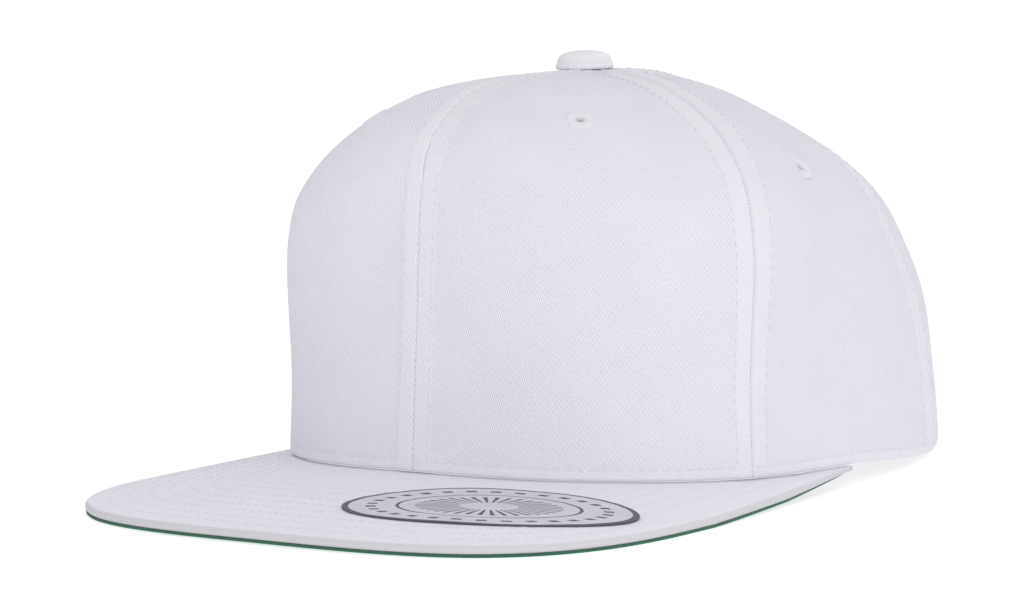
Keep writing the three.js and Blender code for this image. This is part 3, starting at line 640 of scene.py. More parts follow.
def stitches_along(path, normals, pitch=STITCH_PITCH, length=STITCH_LENGTH, radius=THREAD_RADIUS):
    """Points and faces of the stitches of one row: short bowed threads whose ends dip into the cloth."""
    run = np.concatenate([[0], np.cumsum(np.linalg.norm(np.diff(path, axis=0), axis=1))])
    count = int((run[-1] - length) // pitch)
    stations = np.array(STITCH_STATIONS)
    lifts = np.array(STITCH_LIFTS) * radius
    sides = THREAD_SIDES
    turns = np.linspace(0, 2 * math.pi, sides, endpoint=False)
    points, faces = [], []
    for i in range(count):
        at = (i + 0.5) * pitch + stations * length
        middle = np.stack([np.interp(at, run, path[:, k]) for k in range(3)], axis=1)
        up = unit(np.stack([np.interp(at, run, normals[:, k]) for k in range(3)], axis=1))
        ahead = unit(middle[-1] - middle[0])
        aside = unit(np.cross(up, ahead))
        centre = middle + up * lifts[:, None]
        ring = centre[:, None] + radius * (
            np.cos(turns)[None, :, None] * aside[:, None] + np.sin(turns)[None, :, None] * up[:, None]
        )
        first = len(points) * len(stations) * sides
        points.append(ring.reshape(-1, 3))
        for k in range(len(stations) - 1):
            for side in range(sides):
                a, b = first + k * sides + side, first + k * sides + (side + 1) % sides
                faces.append((a, a + sides, b + sides, b))
        faces.append(tuple(first + side for side in range(sides)))
        last = first + (len(stations) - 1) * sides
        faces.append(tuple(last + side for side in range(sides - 1, -1, -1)))
    return points, faces


def thread_mesh(name, rows, **sizes):
    """All the stitches of several rows, each a path and its normals, as one mesh."""
    points, faces = [], []
    for path, normals in rows:
        row_points, row_faces = stitches_along(path, normals, **sizes)
        first = sum(len(part) for part in points)
        points += row_points
        faces += [tuple(corner + first for corner in face) for face in row_faces]
    return smooth_mesh(name, np.concatenate(points), faces)


for panel, cloth in panel_cloths.items():
    from_button = np.hypot(cloth.outer[..., 0], cloth.outer[..., 1] + BUTTON_FORWARD)
    rows = []
    for column in (SEAM_STITCH_STEP, -1 - SEAM_STITCH_STEP):
        used = (cloth.from_edge[column] > HEM_STITCH_HEIGHT) & (from_button[column] > CLEAR_OF_BUTTON)
        rows.append((cloth.outer[column][used], cloth.normal[column][used]))
    rows.append((cloth.outer[2:-2, HEM_STITCH_STEP], cloth.normal[2:-2, HEM_STITCH_STEP]))
    add_piece(f"stitching_{panel}", thread_mesh(f"thread_{panel}", rows), white_thread, "eyelet_thread")

# Eyelets
# A vent hole in each panel, punched and overcast by machine with white thread, so that it has a raised
# ring of close radial stitches round a small open hole.
EYELET_WRAPS = 46
EYELET_WRAP_WIDTH = 0.05
EYELET_WRAP_HEIGHT = 0.09
EYELET_UNEVENNESS = 0.02
# Out from the hole's middle, and up from the cloth's face, round a cut through the ring
EYELET_SECTION = (
    (0.95, -0.5), (1.05, -0.15), (1.4, 0.08), (2.1, 0.24), (2.8, 0.24), (3.4, 0.14), (3.85, 0),
    (4, -0.2), (3.7, -0.5), (3.4, -1.6), (3, -2), (2.2, -2.1), (1.3, -1.95), (1, -1.6),
)


def wrapped_ring(name, middle, normal):
    around = 6 * EYELET_WRAPS
    turns = np.linspace(0, 2 * math.pi, around, endpoint=False)
    section = np.array(EYELET_SECTION)
    aside = unit(np.cross(normal, (0, 0, 1)))
    ahead = np.cross(normal, aside)
    thread = 0.5 + 0.5 * np.cos(EYELET_WRAPS * turns)
    uneven = 1 + EYELET_UNEVENNESS * np.sin(5 * turns + middle[0])
    out, up = section.T
    radius = out * uneven[:, None] + EYELET_WRAP_WIDTH * thread[:, None] * (up > -0.3)
    height = up + EYELET_WRAP_HEIGHT * thread[:, None] * (up > 0)
    spokes = np.cos(turns)[:, None] * aside + np.sin(turns)[:, None] * ahead
    points = middle + radius[..., None] * spokes[:, None] + height[..., None] * normal
    count = len(section)
    faces = []
    for i in range(around):
        following = (i + 1) % around
        for j in range(count):
            after = (j + 1) % count
            faces.append((i * count + j, following * count + j, following * count + after, i * count + after))
    return smooth_mesh(name, points.reshape(-1, 3), faces)


for panel, (_, _, eyelet_row, _) in PANELS.items():
    angle = panel_cloths[panel].eyelet_angle
    normal = form_normal(angle, eyelet_row)
    middle = form_point(angle, eyelet_row) - normal * float(dent_depth(angle, eyelet_row))
    mesh = wrapped_ring(f"ring_{panel}", middle, normal)
    add_piece(f"stitched_eyelet_{panel}", mesh, white_thread, "eyelet_thread", f"eyelet_{panel}")

# Button
# A stamped metal button covered in the crown's own twill, with the cloth gathered in under its edge and
# the shank pressed through the tips of the six panels.
BUTTON_RADIUS = 8.2
BUTTON_HEIGHT = 4.8
BUTTON_SEAT = CROWN_HEIGHT + 0.3
BUTTON_SIDES = 120
BUTTON_RINGS = 46
BUTTON_GATHERS = 22
BUTTON_GATHER_DEPTH = 0.012
# Out and up along a cut through the button, as shares of its radius and its height
BUTTON_SECTION = (
    (0, 1), (0.2, 0.992), (0.4, 0.965), (0.58, 0.915), (0.72, 0.84), (0.82, 0.74),
    (0.89, 0.61), (0.925, 0.46), (0.95, 0.32), (0.975, 0.2), (1, 0.1), (0.99, 0),
    (0.95, -0.06), (0.86, -0.08), (0.3, -0.1), (0, -0.1),
)


def button_mesh():
    around = BUTTON_SIDES
    section = np.array(BUTTON_SECTION)
    corners = np.arange(len(section))
    fine = np.linspace(0, corners[-1], BUTTON_RINGS)
    out = np.interp(fine, corners, section[:, 0]) * BUTTON_RADIUS
    up = np.interp(fine, corners, section[:, 1]) * BUTTON_HEIGHT
    run = np.concatenate([[0], np.cumsum(np.hypot(np.diff(out), np.diff(up)))])
    turns = np.linspace(0, 2 * math.pi, around, endpoint=False)
    folds = 1 + np.sin(BUTTON_GATHERS * turns)
    gather = 1 - BUTTON_GATHER_DEPTH * ease(0.9, 1, out / BUTTON_RADIUS) * folds[:, None]
    rings = slice(1, -1)
    x = out[rings] * gather[:, rings] * np.cos(turns)[:, None]
    y = out[rings] * gather[:, rings] * np.sin(turns)[:, None]
    z = np.broadcast_to(up[rings], x.shape)
    count = x.shape[1]
    points = np.stack([x, y - BUTTON_FORWARD, z + BUTTON_SEAT], axis=-1).reshape(-1, 3)
    points = np.concatenate([points, [(0, -BUTTON_FORWARD, BUTTON_SEAT + up[i]) for i in (0, -1)]])
    top, bottom = around * count, around * count + 1
    faces = []
    for i in range(around):
        following = (i + 1) % around
        faces.append((top, i * count, following * count))
        faces.append((bottom, following * count + count - 1, i * count + count - 1))
        for j in range(count - 1):
            a, b = i * count + j, following * count + j
            faces.append((a, a + 1, b + 1, b))
    mesh = smooth_mesh("covered button", points, faces)
    spread = np.concatenate([np.tile(run[rings], around), run[[0, -1]]])
    angle = np.arctan2(points[:, 1] + BUTTON_FORWARD, points[:, 0])
    lay_pattern(mesh, "cloth", np.stack([spread * np.cos(angle), spread * np.sin(angle)], axis=1) * MM)
    return mesh


BUTTON_LOW = (0.77, 0.765, 0.8)
BUTTON_HIGH = (0.86, 0.855, 0.91)
button_twill = cloth_material("button twill", BUTTON_LOW, BUTTON_HIGH, depth=0.06)
add_piece("covered_button", button_mesh(), button_twill, "button_cloth", "button")

# Peak
# A flat plastic board between two layers of cloth: the crown's white twill on top, turned down round the
# edge, and green twill beneath. Eight parallel rows of stitches quilt the layers to the board.
PEAK_HALF_WIDTH = 90
PEAK_REACH = 65
PEAK_CORNER_BACK = 75.5
PEAK_SQUARENESS = 3.1
PEAK_END_ANGLE = 82
PEAK_SIDE_CURVE = 1.3
PEAK_END_SHARE = 0.5
PEAK_END_TAPER = 40
PEAK_THICKNESS = 3.2
PEAK_WHITE_THICKNESS = 2.5
PEAK_UNDER_THICKNESS = 0.9
PEAK_EDGE_ARCH = 0.3
PEAK_ARCH_HALF_WIDTH = 63
PEAK_CLEARANCE = 0.3
PEAK_STATIONS = 300
PEAK_ACROSS = 110
PEAK_CROWDING = 1.15
PEAK_ROW_COUNT = 8
PEAK_ROW_FIRST = 6
PEAK_ROW_PITCH = 5.6
PEAK_ROW_SINK = 0.07
PEAK_ROW_SPREAD = 0.7
PEAK_SHARP_ANGLE = 60
NOSE_STEP = 0.35
PEAK_ROW_FROM_RIM = 0.8
PEAK_ROW_FROM_TURN = 0.5
FEWEST_ROW_POINTS = 8
LOOK_HEIGHT = 30
PEAK_STITCHES = {"pitch": 2.8, "length": 2.2, "radius": 0.09}
UNDER_ROW_SINK = 0.08
UNDER_EDGE_RADIUS = 0.4
UNDER_INSET = 0.2
UNDER_INSET_GROWTH = 7
UNDER_INSET_LENGTH = 75


corner_y = -RIM_HALF_LENGTH - PEAK_REACH + PEAK_CORNER_BACK


def peak_outline():
    """The peak's outer edge seen from above, evenly spaced from its right end to its left end."""
    end_x, end_y = rim_point(PEAK_END_ANGLE)
    swing = np.linspace(0, math.pi / 2, 400)
    front_x = PEAK_HALF_WIDTH * np.sin(swing) ** (2 / PEAK_SQUARENESS)
    front_y = corner_y - PEAK_CORNER_BACK * np.cos(swing) ** (2 / PEAK_SQUARENESS)
    share = np.linspace(0, 1, 100)[1:]
    side_x = PEAK_HALF_WIDTH + (end_x - PEAK_HALF_WIDTH) * share**PEAK_SIDE_CURVE
    side_y = corner_y + (end_y - corner_y) * share
    left = np.stack([np.concatenate([front_x, side_x]), np.concatenate([front_y, side_y])], axis=1)
    right = left[:0:-1] * (-1, 1)
    return np.concatenate([right, left])


def along_line(line, shares):
    """Points at shares of a line's length."""
    run = np.concatenate([[0], np.cumsum(np.linalg.norm(np.diff(line, axis=0), axis=1))])
    return np.stack([np.interp(shares * run[-1], run, line[:, k]) for k in range(line.shape[1])], axis=1)


def edge_height(points):
    """The height of the peak's top face at its outer edge."""
    end_y = rim_point(PEAK_END_ANGLE)[1]
    aside = np.minimum(1, np.abs(points[:, 0]) / PEAK_ARCH_HALF_WIDTH)
    climb = np.clip((points[:, 1] - corner_y) / (end_y - corner_y), 0, 1)
    front = PEAK_THICKNESS + PEAK_EDGE_ARCH * (1 - aside**2)
    end = rim_height(np.array([PEAK_END_ANGLE]))[0] - PEAK_CLEARANCE
    return front + (end - front) * climb


peak_edge_line = peak_outline()
peak_shares = np.linspace(0, 1, PEAK_STATIONS + 1)
peak_edge = along_line(peak_edge_line, peak_shares)
peak_angles = PEAK_END_ANGLE * (2 * peak_shares - 1)
peak_inner = form_point(peak_angles, 0) - form_normal(peak_angles, 0) * CLOTH
peak_inner[:, 2] -= PEAK_CLEARANCE
peak_outer = np.concatenate([peak_edge, edge_height(peak_edge)[:, None]], axis=1)
peak_edge_length = np.linalg.norm(np.diff(peak_edge_line, axis=0), axis=1).sum()
from_peak_end = np.minimum(peak_shares, 1 - peak_shares) * peak_edge_length
peak_fullness = PEAK_END_SHARE + (1 - PEAK_END_SHARE) * np.minimum(1, from_peak_end / PEAK_END_TAPER)


def from_peak_edge(points):
    """Distances in from the peak's outer edge, seen from above."""
    edge = along_line(peak_edge_line, np.linspace(0, 1, 700))
    flat = points[..., :2].reshape(-1, 2)
    nearest = [np.min(np.linalg.norm(edge - point, axis=1)) for point in flat]
    return np.array(nearest).reshape(points.shape[:-1])


def peak_layer(top, thickness, inset, nose_steps, radius, sink):
    """A layer of the peak, top millimetres under its upper face, with a rounded outer edge."""
    outward = unit(peak_outer - peak_inner)
    growth = UNDER_INSET_GROWTH * (1 - ease(0, UNDER_INSET_LENGTH, from_peak_end))
    edge = peak_outer - outward * (inset * (1 + growth))[:, None]
    width = np.linalg.norm(edge - peak_inner, axis=1)
    shares = np.linspace(0, 1, PEAK_ACROSS + 1)
    shares = 1 - (1 - shares) ** PEAK_CROWDING
    face = peak_inner[:, None] + (edge - peak_inner)[:, None] * shares[None, :, None]
    reach = radius * np.minimum(1, width / (4 * radius))
    face = face - outward[:, None] * (reach[:, None, None] * shares[None, :, None])
    distance = from_peak_edge(face)
    depth = np.zeros(distance.shape)
    for k in range(PEAK_ROW_COUNT):
        row = PEAK_ROW_FIRST + k * PEAK_ROW_PITCH
        depth += sink * np.exp(-(((distance - row) / PEAK_ROW_SPREAD) ** 2))
    upper, lower = face.copy(), face.copy()
    layer_top = (top * peak_fullness)[:, None]
    layer_thickness = (thickness * peak_fullness)[:, None]
    upper[..., 2] -= layer_top + depth
    lower[..., 2] -= layer_top + layer_thickness - depth
    swing = np.linspace(math.pi / 2, -math.pi / 2, nose_steps + 2)[1:-1]
    nose = edge[:, None] - outward[:, None] * (reach[:, None] * (1 - np.cos(swing)))[..., None]
    nose[..., 2] -= layer_top + layer_thickness / 2 * (1 - np.sin(swing))
    return np.concatenate([upper, nose, lower[:, ::-1]], axis=1), face


def peak_mesh(name, top, thickness, inset, nose_steps, radius, sink):
    section, upper_face = peak_layer(top, thickness, inset, nose_steps, radius, sink)
    stations, count = section.shape[:2]
    faces = []
    for i in range(stations - 1):
        for j in range(count):
            a, b = i * count + j, i * count + (j + 1) % count
            faces.append((a, a + count, b + count, b))
    faces.append(tuple(range(count - 1, -1, -1)))
    faces.append(tuple((stations - 1) * count + j for j in range(count)))
    mesh = smooth_mesh(name, section.reshape(-1, 3), [face[::-1] for face in faces], PEAK_SHARP_ANGLE)
    outward = unit(peak_outer - peak_inner)[:, None, :2]
    turned_down = upper_face[:, -1:, :2] + outward * NOSE_STEP * np.arange(1, nose_steps + 1)[:, None]
    whole = np.concatenate([upper_face[..., :2], turned_down, upper_face[:, ::-1, :2]], axis=1)
    # Marks the turned-down edge; the peak twill paints it darker as painted shade
    marks = np.zeros(section.shape[:2])
    marks[:, PEAK_ACROSS + 1 : PEAK_ACROSS + 1 + nose_steps] = ease(-1, 3, np.arange(nose_steps))
    mesh.attributes.new("strip", "FLOAT", "POINT").data.foreach_set("value", marks.ravel())
    lay_pattern(mesh, "cloth", whole.reshape(-1, 2) * MM)
    return mesh


PEAK_LOW = (0.715, 0.71, 0.78)
PEAK_HIGH = (0.905, 0.9, 0.97)
# The turned-down edge is the same white twill; its darker tone is painted shade where the edge faces down
# away from the light
PEAK_EDGE_PAINTED_SHADE = (0.61, 0.605, 0.635)
peak_twill = cloth_material("peak twill", PEAK_LOW, PEAK_HIGH, depth=0.07, strip=PEAK_EDGE_PAINTED_SHADE)
white_peak = peak_mesh("peak cloth", 0, PEAK_WHITE_THICKNESS, 0, 12, PEAK_WHITE_THICKNESS / 2, PEAK_ROW_SINK)
add_piece("covered_peak", white_peak, peak_twill, "peak_cloth", "peak")

GREEN_LOW = (0.02, 0.095, 0.052)
GREEN_HIGH = (0.038, 0.165, 0.095)
green_twill = cloth_material("green twill", GREEN_LOW, GREEN_HIGH, depth=0.07)
under_top = PEAK_THICKNESS - PEAK_UNDER_THICKNESS
green_peak = peak_mesh(
    "under cloth", under_top, PEAK_UNDER_THICKNESS, UNDER_INSET, 6, UNDER_EDGE_RADIUS, UNDER_ROW_SINK
)
add_piece("green_under_peak", green_peak, green_twill, "under_cloth", "peak_under")


def surface_of(mesh):
    return BVHTree.FromPolygons([v.co for v in mesh.vertices], [p.vertices[:] for p in mesh.polygons])


def peak_rows(mesh, downward):
    """The paths of the peak's rows of stitches on its upper or its lower face."""
    side = 1 if downward else -1
    surface = surface_of(mesh)
    edge = along_line(peak_edge_line, np.linspace(0, 1, 500))
    ahead = unit(np.gradient(edge, axis=0))
    inward = np.stack([-ahead[:, 1], ahead[:, 0]], axis=1)
    rows = []
    for k in range(PEAK_ROW_COUNT):
        from_edge = PEAK_ROW_FIRST + k * PEAK_ROW_PITCH
        line = edge + inward * from_edge
        bearing = np.degrees(np.arctan2(line[:, 0], -line[:, 1]))
        rim_x, rim_y = rim_point(bearing)
        clear = np.hypot(line[:, 0], line[:, 1]) > np.hypot(rim_x, rim_y) + PEAK_ROW_FROM_RIM
        clear &= from_peak_edge(line) > from_edge - PEAK_ROW_FROM_TURN
        path = []
        for x, y in line[clear]:
            start = Vector(in_frame((x, y, side * LOOK_HEIGHT)))
            hit, _, _, _ = surface.ray_cast(start, Vector((0, 0, -side)))
            if hit:
                path.append(np.array(hit) / MM - (0, OPENING_BACK, 0))
        if len(path) > FEWEST_ROW_POINTS:
            rows.append((np.array(path), np.tile((0.0, 0.0, side), (len(path), 1))))
    return rows


top_rows = thread_mesh("peak thread", peak_rows(white_peak, True), **PEAK_STITCHES)
add_piece("stitching_peak", top_rows, white_thread, "eyelet_thread")
green_thread = thread_material("green thread", (0.05, 0.2, 0.11))
under_rows = thread_mesh("under thread", peak_rows(green_peak, False), **PEAK_STITCHES)
add_piece("stitching_under_peak", under_rows, green_thread, "under_cloth")

# Sweatband
# A band of white cotton twill folded over a soft strip, sewn round the inside of the rim so that its
# lower edge is level with the hem. It stops at each side of the arch, over the straps' sewn-in tabs.
CLEARANCE = 0.3
SWEATBAND_HEIGHT = 32
SWEATBAND_THICKNESS = 1.1
SWEATBAND_LIFT = 0.6
SWEATBAND_BACK_GAP = 3
SWEATBAND_STITCH_HEIGHT = 2.5
SWEATBAND_STITCH_SINK = 0.18
SWEATBAND_EDGE_STEPS = (0, 0.25, 0.6, 1.1)
SWEATBAND_EDGE = 1.8
SWEATBAND_WAVE = 0.25
SWEATBAND_COLUMNS = 360
SWEATBAND_MEAN_RADIUS = 90
STRAP_HEIGHT = 20
STRAP_THICKNESS = 1.3
STRAP_TAB = 12
STRAP_EASE = 0.6
strap_depth = CLOTH + STRAP_EASE
lap_depth = strap_depth + STRAP_THICKNESS + CLEARANCE
tab_end = ARCH_HALF_WIDTH + STRAP_TAB


def row_at_height(angle, height):
    """The row of the crown's profile at each height above the table."""
    angle, height = np.broadcast_arrays(np.asarray(angle, float), np.asarray(height, float))
    low, high = np.zeros(angle.shape), np.full(angle.shape, LAST_ROW / 2)
    for _ in range(24):
        middle = (low + high) / 2
        under = form_point(angle, middle)[..., 2] < height
        low, high = np.where(under, middle, low), np.where(under, high, middle)
    return (low + high) / 2


def wall_point(angle, height, depth):
    """Points inside the crown's wall at a height, with the depth measured level from its outer face."""
    row = row_at_height(angle, height)
    level = form_normal(angle, row) * (1, 1, 0)
    points = form_point(angle, row) - unit(level) * (depth + dent_depth(angle, row))[..., None]
    points[..., 2] = height
    return points


def sweatband_mesh():
    end = 180 - math.degrees((ARCH_HALF_WIDTH + SWEATBAND_BACK_GAP) / RIM_HALF_LENGTH)
    angles = np.linspace(-end, end, SWEATBAND_COLUMNS)
    edge = np.array(SWEATBAND_EDGE_STEPS)
    middle = np.linspace(SWEATBAND_EDGE, SWEATBAND_HEIGHT - SWEATBAND_EDGE, 26)
    steps = np.concatenate([edge, middle, SWEATBAND_HEIGHT - edge[::-1]])
    from_back = (180 - np.abs(angles)) * math.radians(RIM_HALF_LENGTH)
    over_tabs = 1 - ease(tab_end + 4, tab_end + 20, from_back)
    start = CLOTH + CLEARANCE
    depth = start + (lap_depth - start) * over_tabs
    angle_grid = np.repeat(angles[:, None], len(steps), axis=1)
    heights = rim_height(angles)[:, None] + SWEATBAND_LIFT + steps[None]
    curl = hem_curl(angle_grid, steps[None] + SWEATBAND_LIFT)
    waves = SWEATBAND_WAVE * np.sin(angle_grid / 3.1) * np.sin(angle_grid / 7.3) * ease(4, 30, steps)
    waves = np.maximum(waves, 0)
    from_stitches = (steps - SWEATBAND_STITCH_HEIGHT) / HEM_STITCH_SPREAD
    stitched = SWEATBAND_STITCH_SINK * np.exp(-(from_stitches**2))
    half = SWEATBAND_THICKNESS / 2
    near = np.clip(half - np.minimum(steps, SWEATBAND_HEIGHT - steps), 0, half)
    lip = half - np.sqrt(half**2 - near**2)
    middle_depth = depth[:, None] + curl + waves
    outer = wall_point(angle_grid, heights, middle_depth + lip)
    inner = wall_point(angle_grid, heights, middle_depth + SWEATBAND_THICKNESS - lip - stitched)
    run = angle_grid * math.radians(SWEATBAND_MEAN_RADIUS)
    pattern = np.stack([run, np.broadcast_to(steps, run.shape)], axis=-1)
    row = int(np.argmin(np.abs(steps - SWEATBAND_STITCH_HEIGHT)))
    inward = -form_normal(angles, 0)
    return shell_mesh("sweatband cloth", outer, inner, pattern=pattern), (inner[:, row], inward)


BAND_LOW = (0.7, 0.7, 0.74)
BAND_HIGH = (0.8, 0.8, 0.83)
band_twill = cloth_material("sweatband twill", BAND_LOW, BAND_HIGH, depth=0.06)
band_mesh, band_row = sweatband_mesh()
add_piece("folded_sweatband", band_mesh, band_twill, "sweatband_cloth", "sweatband")
add_piece("stitching_sweatband", thread_mesh("sweatband thread", [band_row]), white_thread, "eyelet_thread")

# Snap straps
# Two moulded strips of white polyethylene, sewn in at the sides of the arch. The right one carries a row
# of round pegs that press through the holes of the left one.
STRAP_OVERLAP = 44
SNAP_PITCH = 9
PEG_COUNT = 5
PEG_RADIUS = 2
PEG_PROUD = 1.2
PEG_SIDES = 32
PEG_FOOT = 0.4
HOLE_SIDES = 24
STRAP_EDGE = 0.3
STRAP_CUT_STEP = 1.5
PLASTIC_CLOUD = 0.93
PLASTIC_GRAIN = 0.03
STRAP_SHARP_ANGLE = 40
lap_end = STRAP_OVERLAP / 2


def strap_blank(name, hole_places):
    """A flat strap with round end and holes: x runs along it, y up it, and z through its thickness."""
    curve = bpy.data.curves.new(name, "CURVE")
    curve.dimensions = "2D"
    curve.fill_mode = "BOTH"
    curve.extrude = STRAP_THICKNESS / 2 - STRAP_EDGE
    curve.bevel_depth = STRAP_EDGE
    curve.bevel_resolution = 2
    half = STRAP_HEIGHT / 2
    turns = np.linspace(math.pi / 2, -math.pi / 2, 25)
    x = np.concatenate([[tab_end, tab_end], half - lap_end - half * np.cos(turns)])
    y = np.concatenate([[-half, half], half * np.sin(turns)])
    x = np.clip(x, STRAP_EDGE - lap_end, tab_end - STRAP_EDGE)
    loops = [np.stack([x, y * (half - STRAP_EDGE) / half], axis=1)]
    turns = np.linspace(0, 2 * math.pi, HOLE_SIDES, endpoint=False)
    hole = (PEG_RADIUS + CLEARANCE) * np.stack([np.cos(turns), np.sin(turns)], axis=1)
    loops += [hole + (place, 0) for place in hole_places]
    for loop in loops:
        spline = curve.splines.new("POLY")
        spline.points.add(len(loop) - 1)
        for point, (x, y) in zip(spline.points, loop):
            point.co = (x, y, 0, 1)
        spline.use_cyclic_u = True
    blank = bpy.data.objects.new(name, curve)
    bpy.context.scene.collection.objects.link(blank)
    bpy.context.view_layer.update()
    mesh = bpy.data.meshes.new_from_object(blank.evaluated_get(bpy.context.evaluated_depsgraph_get()))
    bpy.data.objects.remove(blank)
    return mesh


def bend_strap(mesh, turn, depth_at):
    """Cuts a blank across at close steps, then bends it round the inside of the rim."""
    work = bmesh.new()
    work.from_mesh(mesh)
    for place in np.arange(-lap_end + 1, tab_end, STRAP_CUT_STEP):
        geometry = work.verts[:] + work.edges[:] + work.faces[:]
        bmesh.ops.bisect_plane(work, geom=geometry, plane_co=(place, 0, 0), plane_no=(1, 0, 0))
    bmesh.ops.remove_doubles(work, verts=work.verts, dist=1e-4)
    work.to_mesh(mesh)
    work.free()
    flat = np.array([v.co for v in mesh.vertices])
    angle = 180 - turn * np.degrees(flat[:, 0] / RIM_HALF_LENGTH)
    depth = depth_at(flat[:, 0]) + STRAP_THICKNESS / 2 - flat[:, 2]
    bent = wall_point(angle, STRAP_HEIGHT / 2 + flat[:, 1], depth)
    mesh.vertices.foreach_set("co", in_frame(bent).ravel())
    if turn > 0:
        mesh.flip_normals()
    mesh.polygons.foreach_set("use_smooth", [True] * len(mesh.polygons))
    mesh.set_sharp_from_angle(angle=math.radians(STRAP_SHARP_ANGLE))
    mesh.update()


def plastic_material(name, colour):
    material, tree, shader = new_material(name)
    shader.inputs["Subsurface Weight"].default_value = 0.15
    shader.inputs["Subsurface Scale"].default_value = 0.002
    place = tree.nodes.new("ShaderNodeTexCoord").outputs["Object"]
    cloud = noise(tree, place, scale=120, detail=4)
    cloudy = tuple(PLASTIC_CLOUD * part for part in colour)
    tree.links.new(mixed(tree, cloud, cloudy, colour), shader.inputs["Base Color"])
    tree.links.new(maths(tree, "MULTIPLY_ADD", cloud, 0.2, 0.3), shader.inputs["Roughness"])
    raise_bump(tree, shader, noise(tree, place, scale=1800, detail=2), PLASTIC_GRAIN, strength=0.4)
    return material


strap_plastic = plastic_material("strap plastic", (0.84, 0.84, 0.85))
snap_places = [(i - (PEG_COUNT - 1) / 2) * SNAP_PITCH for i in range(PEG_COUNT)]
holed = strap_blank("strap with holes", [*snap_places, snap_places[-1] + SNAP_PITCH])
bend_strap(holed, 1, lambda place: np.full(np.shape(place), float(strap_depth)))
add_piece("holed_strap", holed, strap_plastic, "strap_plastic", "strap_holes")



def lapping_depth(place):
    """The strap with pegs passes behind the other one over the lap and comes level beyond it."""
    return lap_depth + (strap_depth - lap_depth) * ease(lap_end + 1, ARCH_HALF_WIDTH, place)


pegged = strap_blank("strap with pegs", [])
bend_strap(pegged, -1, lapping_depth)
add_piece("pegged_strap", pegged, strap_plastic, "strap_plastic", "strap_pegs")

# Out from a peg's axis and up from its foot, as shares of its radius and of its length but for its foot
PEG_SECTION = ((0.5, 0.97), (0.8, 0.88), (0.95, 0.72), (1, 0.5), (1, 0.35), (0.96, 0.1), (0.96, -0.9))
PEG_FOOT_SHARE = 0.9
peg_turns = np.linspace(0, 2 * math.pi, PEG_SIDES, endpoint=False)
peg_depths = np.array([lap_depth + PEG_FOOT, strap_depth - PEG_PROUD])
for i, place in enumerate(snap_places):
    angle = 180 + math.degrees(place / RIM_HALF_LENGTH)
    foot, tip = wall_point(np.full(2, angle), np.full(2, STRAP_HEIGHT / 2), peg_depths)
    out = unit(tip - foot)
    aside = unit(np.cross(out, (0, 0, 1)))
    ahead = np.cross(out, aside)
    spokes = np.cos(peg_turns)[:, None] * aside + np.sin(peg_turns)[:, None] * ahead
    reach = np.linalg.norm(tip - foot) / (1 + PEG_FOOT_SHARE)
    rings = []
    for wide, up in PEG_SECTION:
        rings.append(foot + out * reach * (PEG_FOOT_SHARE + up) + PEG_RADIUS * wide * spokes)
    faces = []
    for k in range(PEG_SIDES):
        first, after = 1 + k, 1 + (k + 1) % PEG_SIDES
        faces.append((0, first, after))
        for ring in range(0, (len(rings) - 1) * PEG_SIDES, PEG_SIDES):
            faces.append((first + ring, first + ring + PEG_SIDES, after + ring + PEG_SIDES, after + ring))
    last = 1 + (len(rings) - 1) * PEG_SIDES
    faces.append(tuple(last + k for k in range(PEG_SIDES - 1, -1, -1)))
    mesh = smooth_mesh(f"peg {i}", np.concatenate([[tip], *rings]), faces)
    add_piece(f"peg_{i + 1}", mesh, strap_plastic, "strap_plastic")

# Sticker
# An oval of thin silver foil with a dark printed border, stuck to the peak on the wearer's left. Its
# print here is a plain one: a ring of dots and a fan of fine rays.
STICKER_LENGTH = 80
STICKER_WIDTH = 36
STICKER_THICKNESS = 0.3
STICKER_OUT = 23
STICKER_LEFT = 43.5
STICKER_TURN = 17
STICKER_LIFT = 0.16
STICKER_RIPPLE = 0.1
STICKER_SIDES = 128
STICKER_SHARP_ANGLE = 50


def sticker_mesh():
    surface = surface_of(white_peak)
    turns = np.linspace(0, 2 * math.pi, STICKER_SIDES, endpoint=False)
    rings = np.concatenate([np.linspace(0.05, 0.95, 18), [0.98, 0.995, 1]])
    lean = math.radians(STICKER_TURN)
    rim = np.stack([np.cos(turns) * STICKER_LENGTH / 2, np.sin(turns) * STICKER_WIDTH / 2], axis=1)
    local = np.concatenate([[(0, 0)], *(ring * rim for ring in rings)])
    x = STICKER_LEFT + local[:, 0] * math.cos(lean) - local[:, 1] * math.sin(lean)
    y = -RIM_HALF_LENGTH - STICKER_OUT + local[:, 0] * math.sin(lean) + local[:, 1] * math.cos(lean)
    ground = []
    for i in range(len(local)):
        start = Vector(in_frame((x[i], y[i], LOOK_HEIGHT)))
        hit, _, _, _ = surface.ray_cast(start, Vector((0, 0, -1)))
        ground.append(hit.z / MM)
    radial = np.hypot(local[:, 0] / STICKER_LENGTH * 2, local[:, 1] / STICKER_WIDTH * 2)
    bearing = np.arctan2(local[:, 1], local[:, 0])
    ripple = STICKER_RIPPLE * ease(0.6, 1, radial) * (1 + np.sin(3 * bearing + 1))
    top = np.array(ground) + STICKER_LIFT + STICKER_THICKNESS + ripple
    under = top - STICKER_THICKNESS
    points = np.concatenate([np.stack([x, y, top], axis=1), np.stack([x, y, under], axis=1)])
    count, total = len(turns), len(local)
    faces = []
    for k in range(count):
        after = (k + 1) % count
        faces.append((0, 1 + k, 1 + after))
        faces.append((total, total + 1 + after, total + 1 + k))
        for j in range(len(rings) - 1):
            a, b = 1 + j * count + k, 1 + j * count + after
            faces.append((a, a + count, b + count, b))
            faces.append((total + b, total + b + count, total + a + count, total + a))
        a, b = 1 + (len(rings) - 1) * count + k, 1 + (len(rings) - 1) * count + after
        faces.append((a, a + total, b + total, b))
    mesh = smooth_mesh("foil sticker", points, faces, STICKER_SHARP_ANGLE)
    flat = np.concatenate([local, local]) / (STICKER_LENGTH / 2, STICKER_WIDTH / 2)
    lay_pattern(mesh, "print", flat)
    return mesh


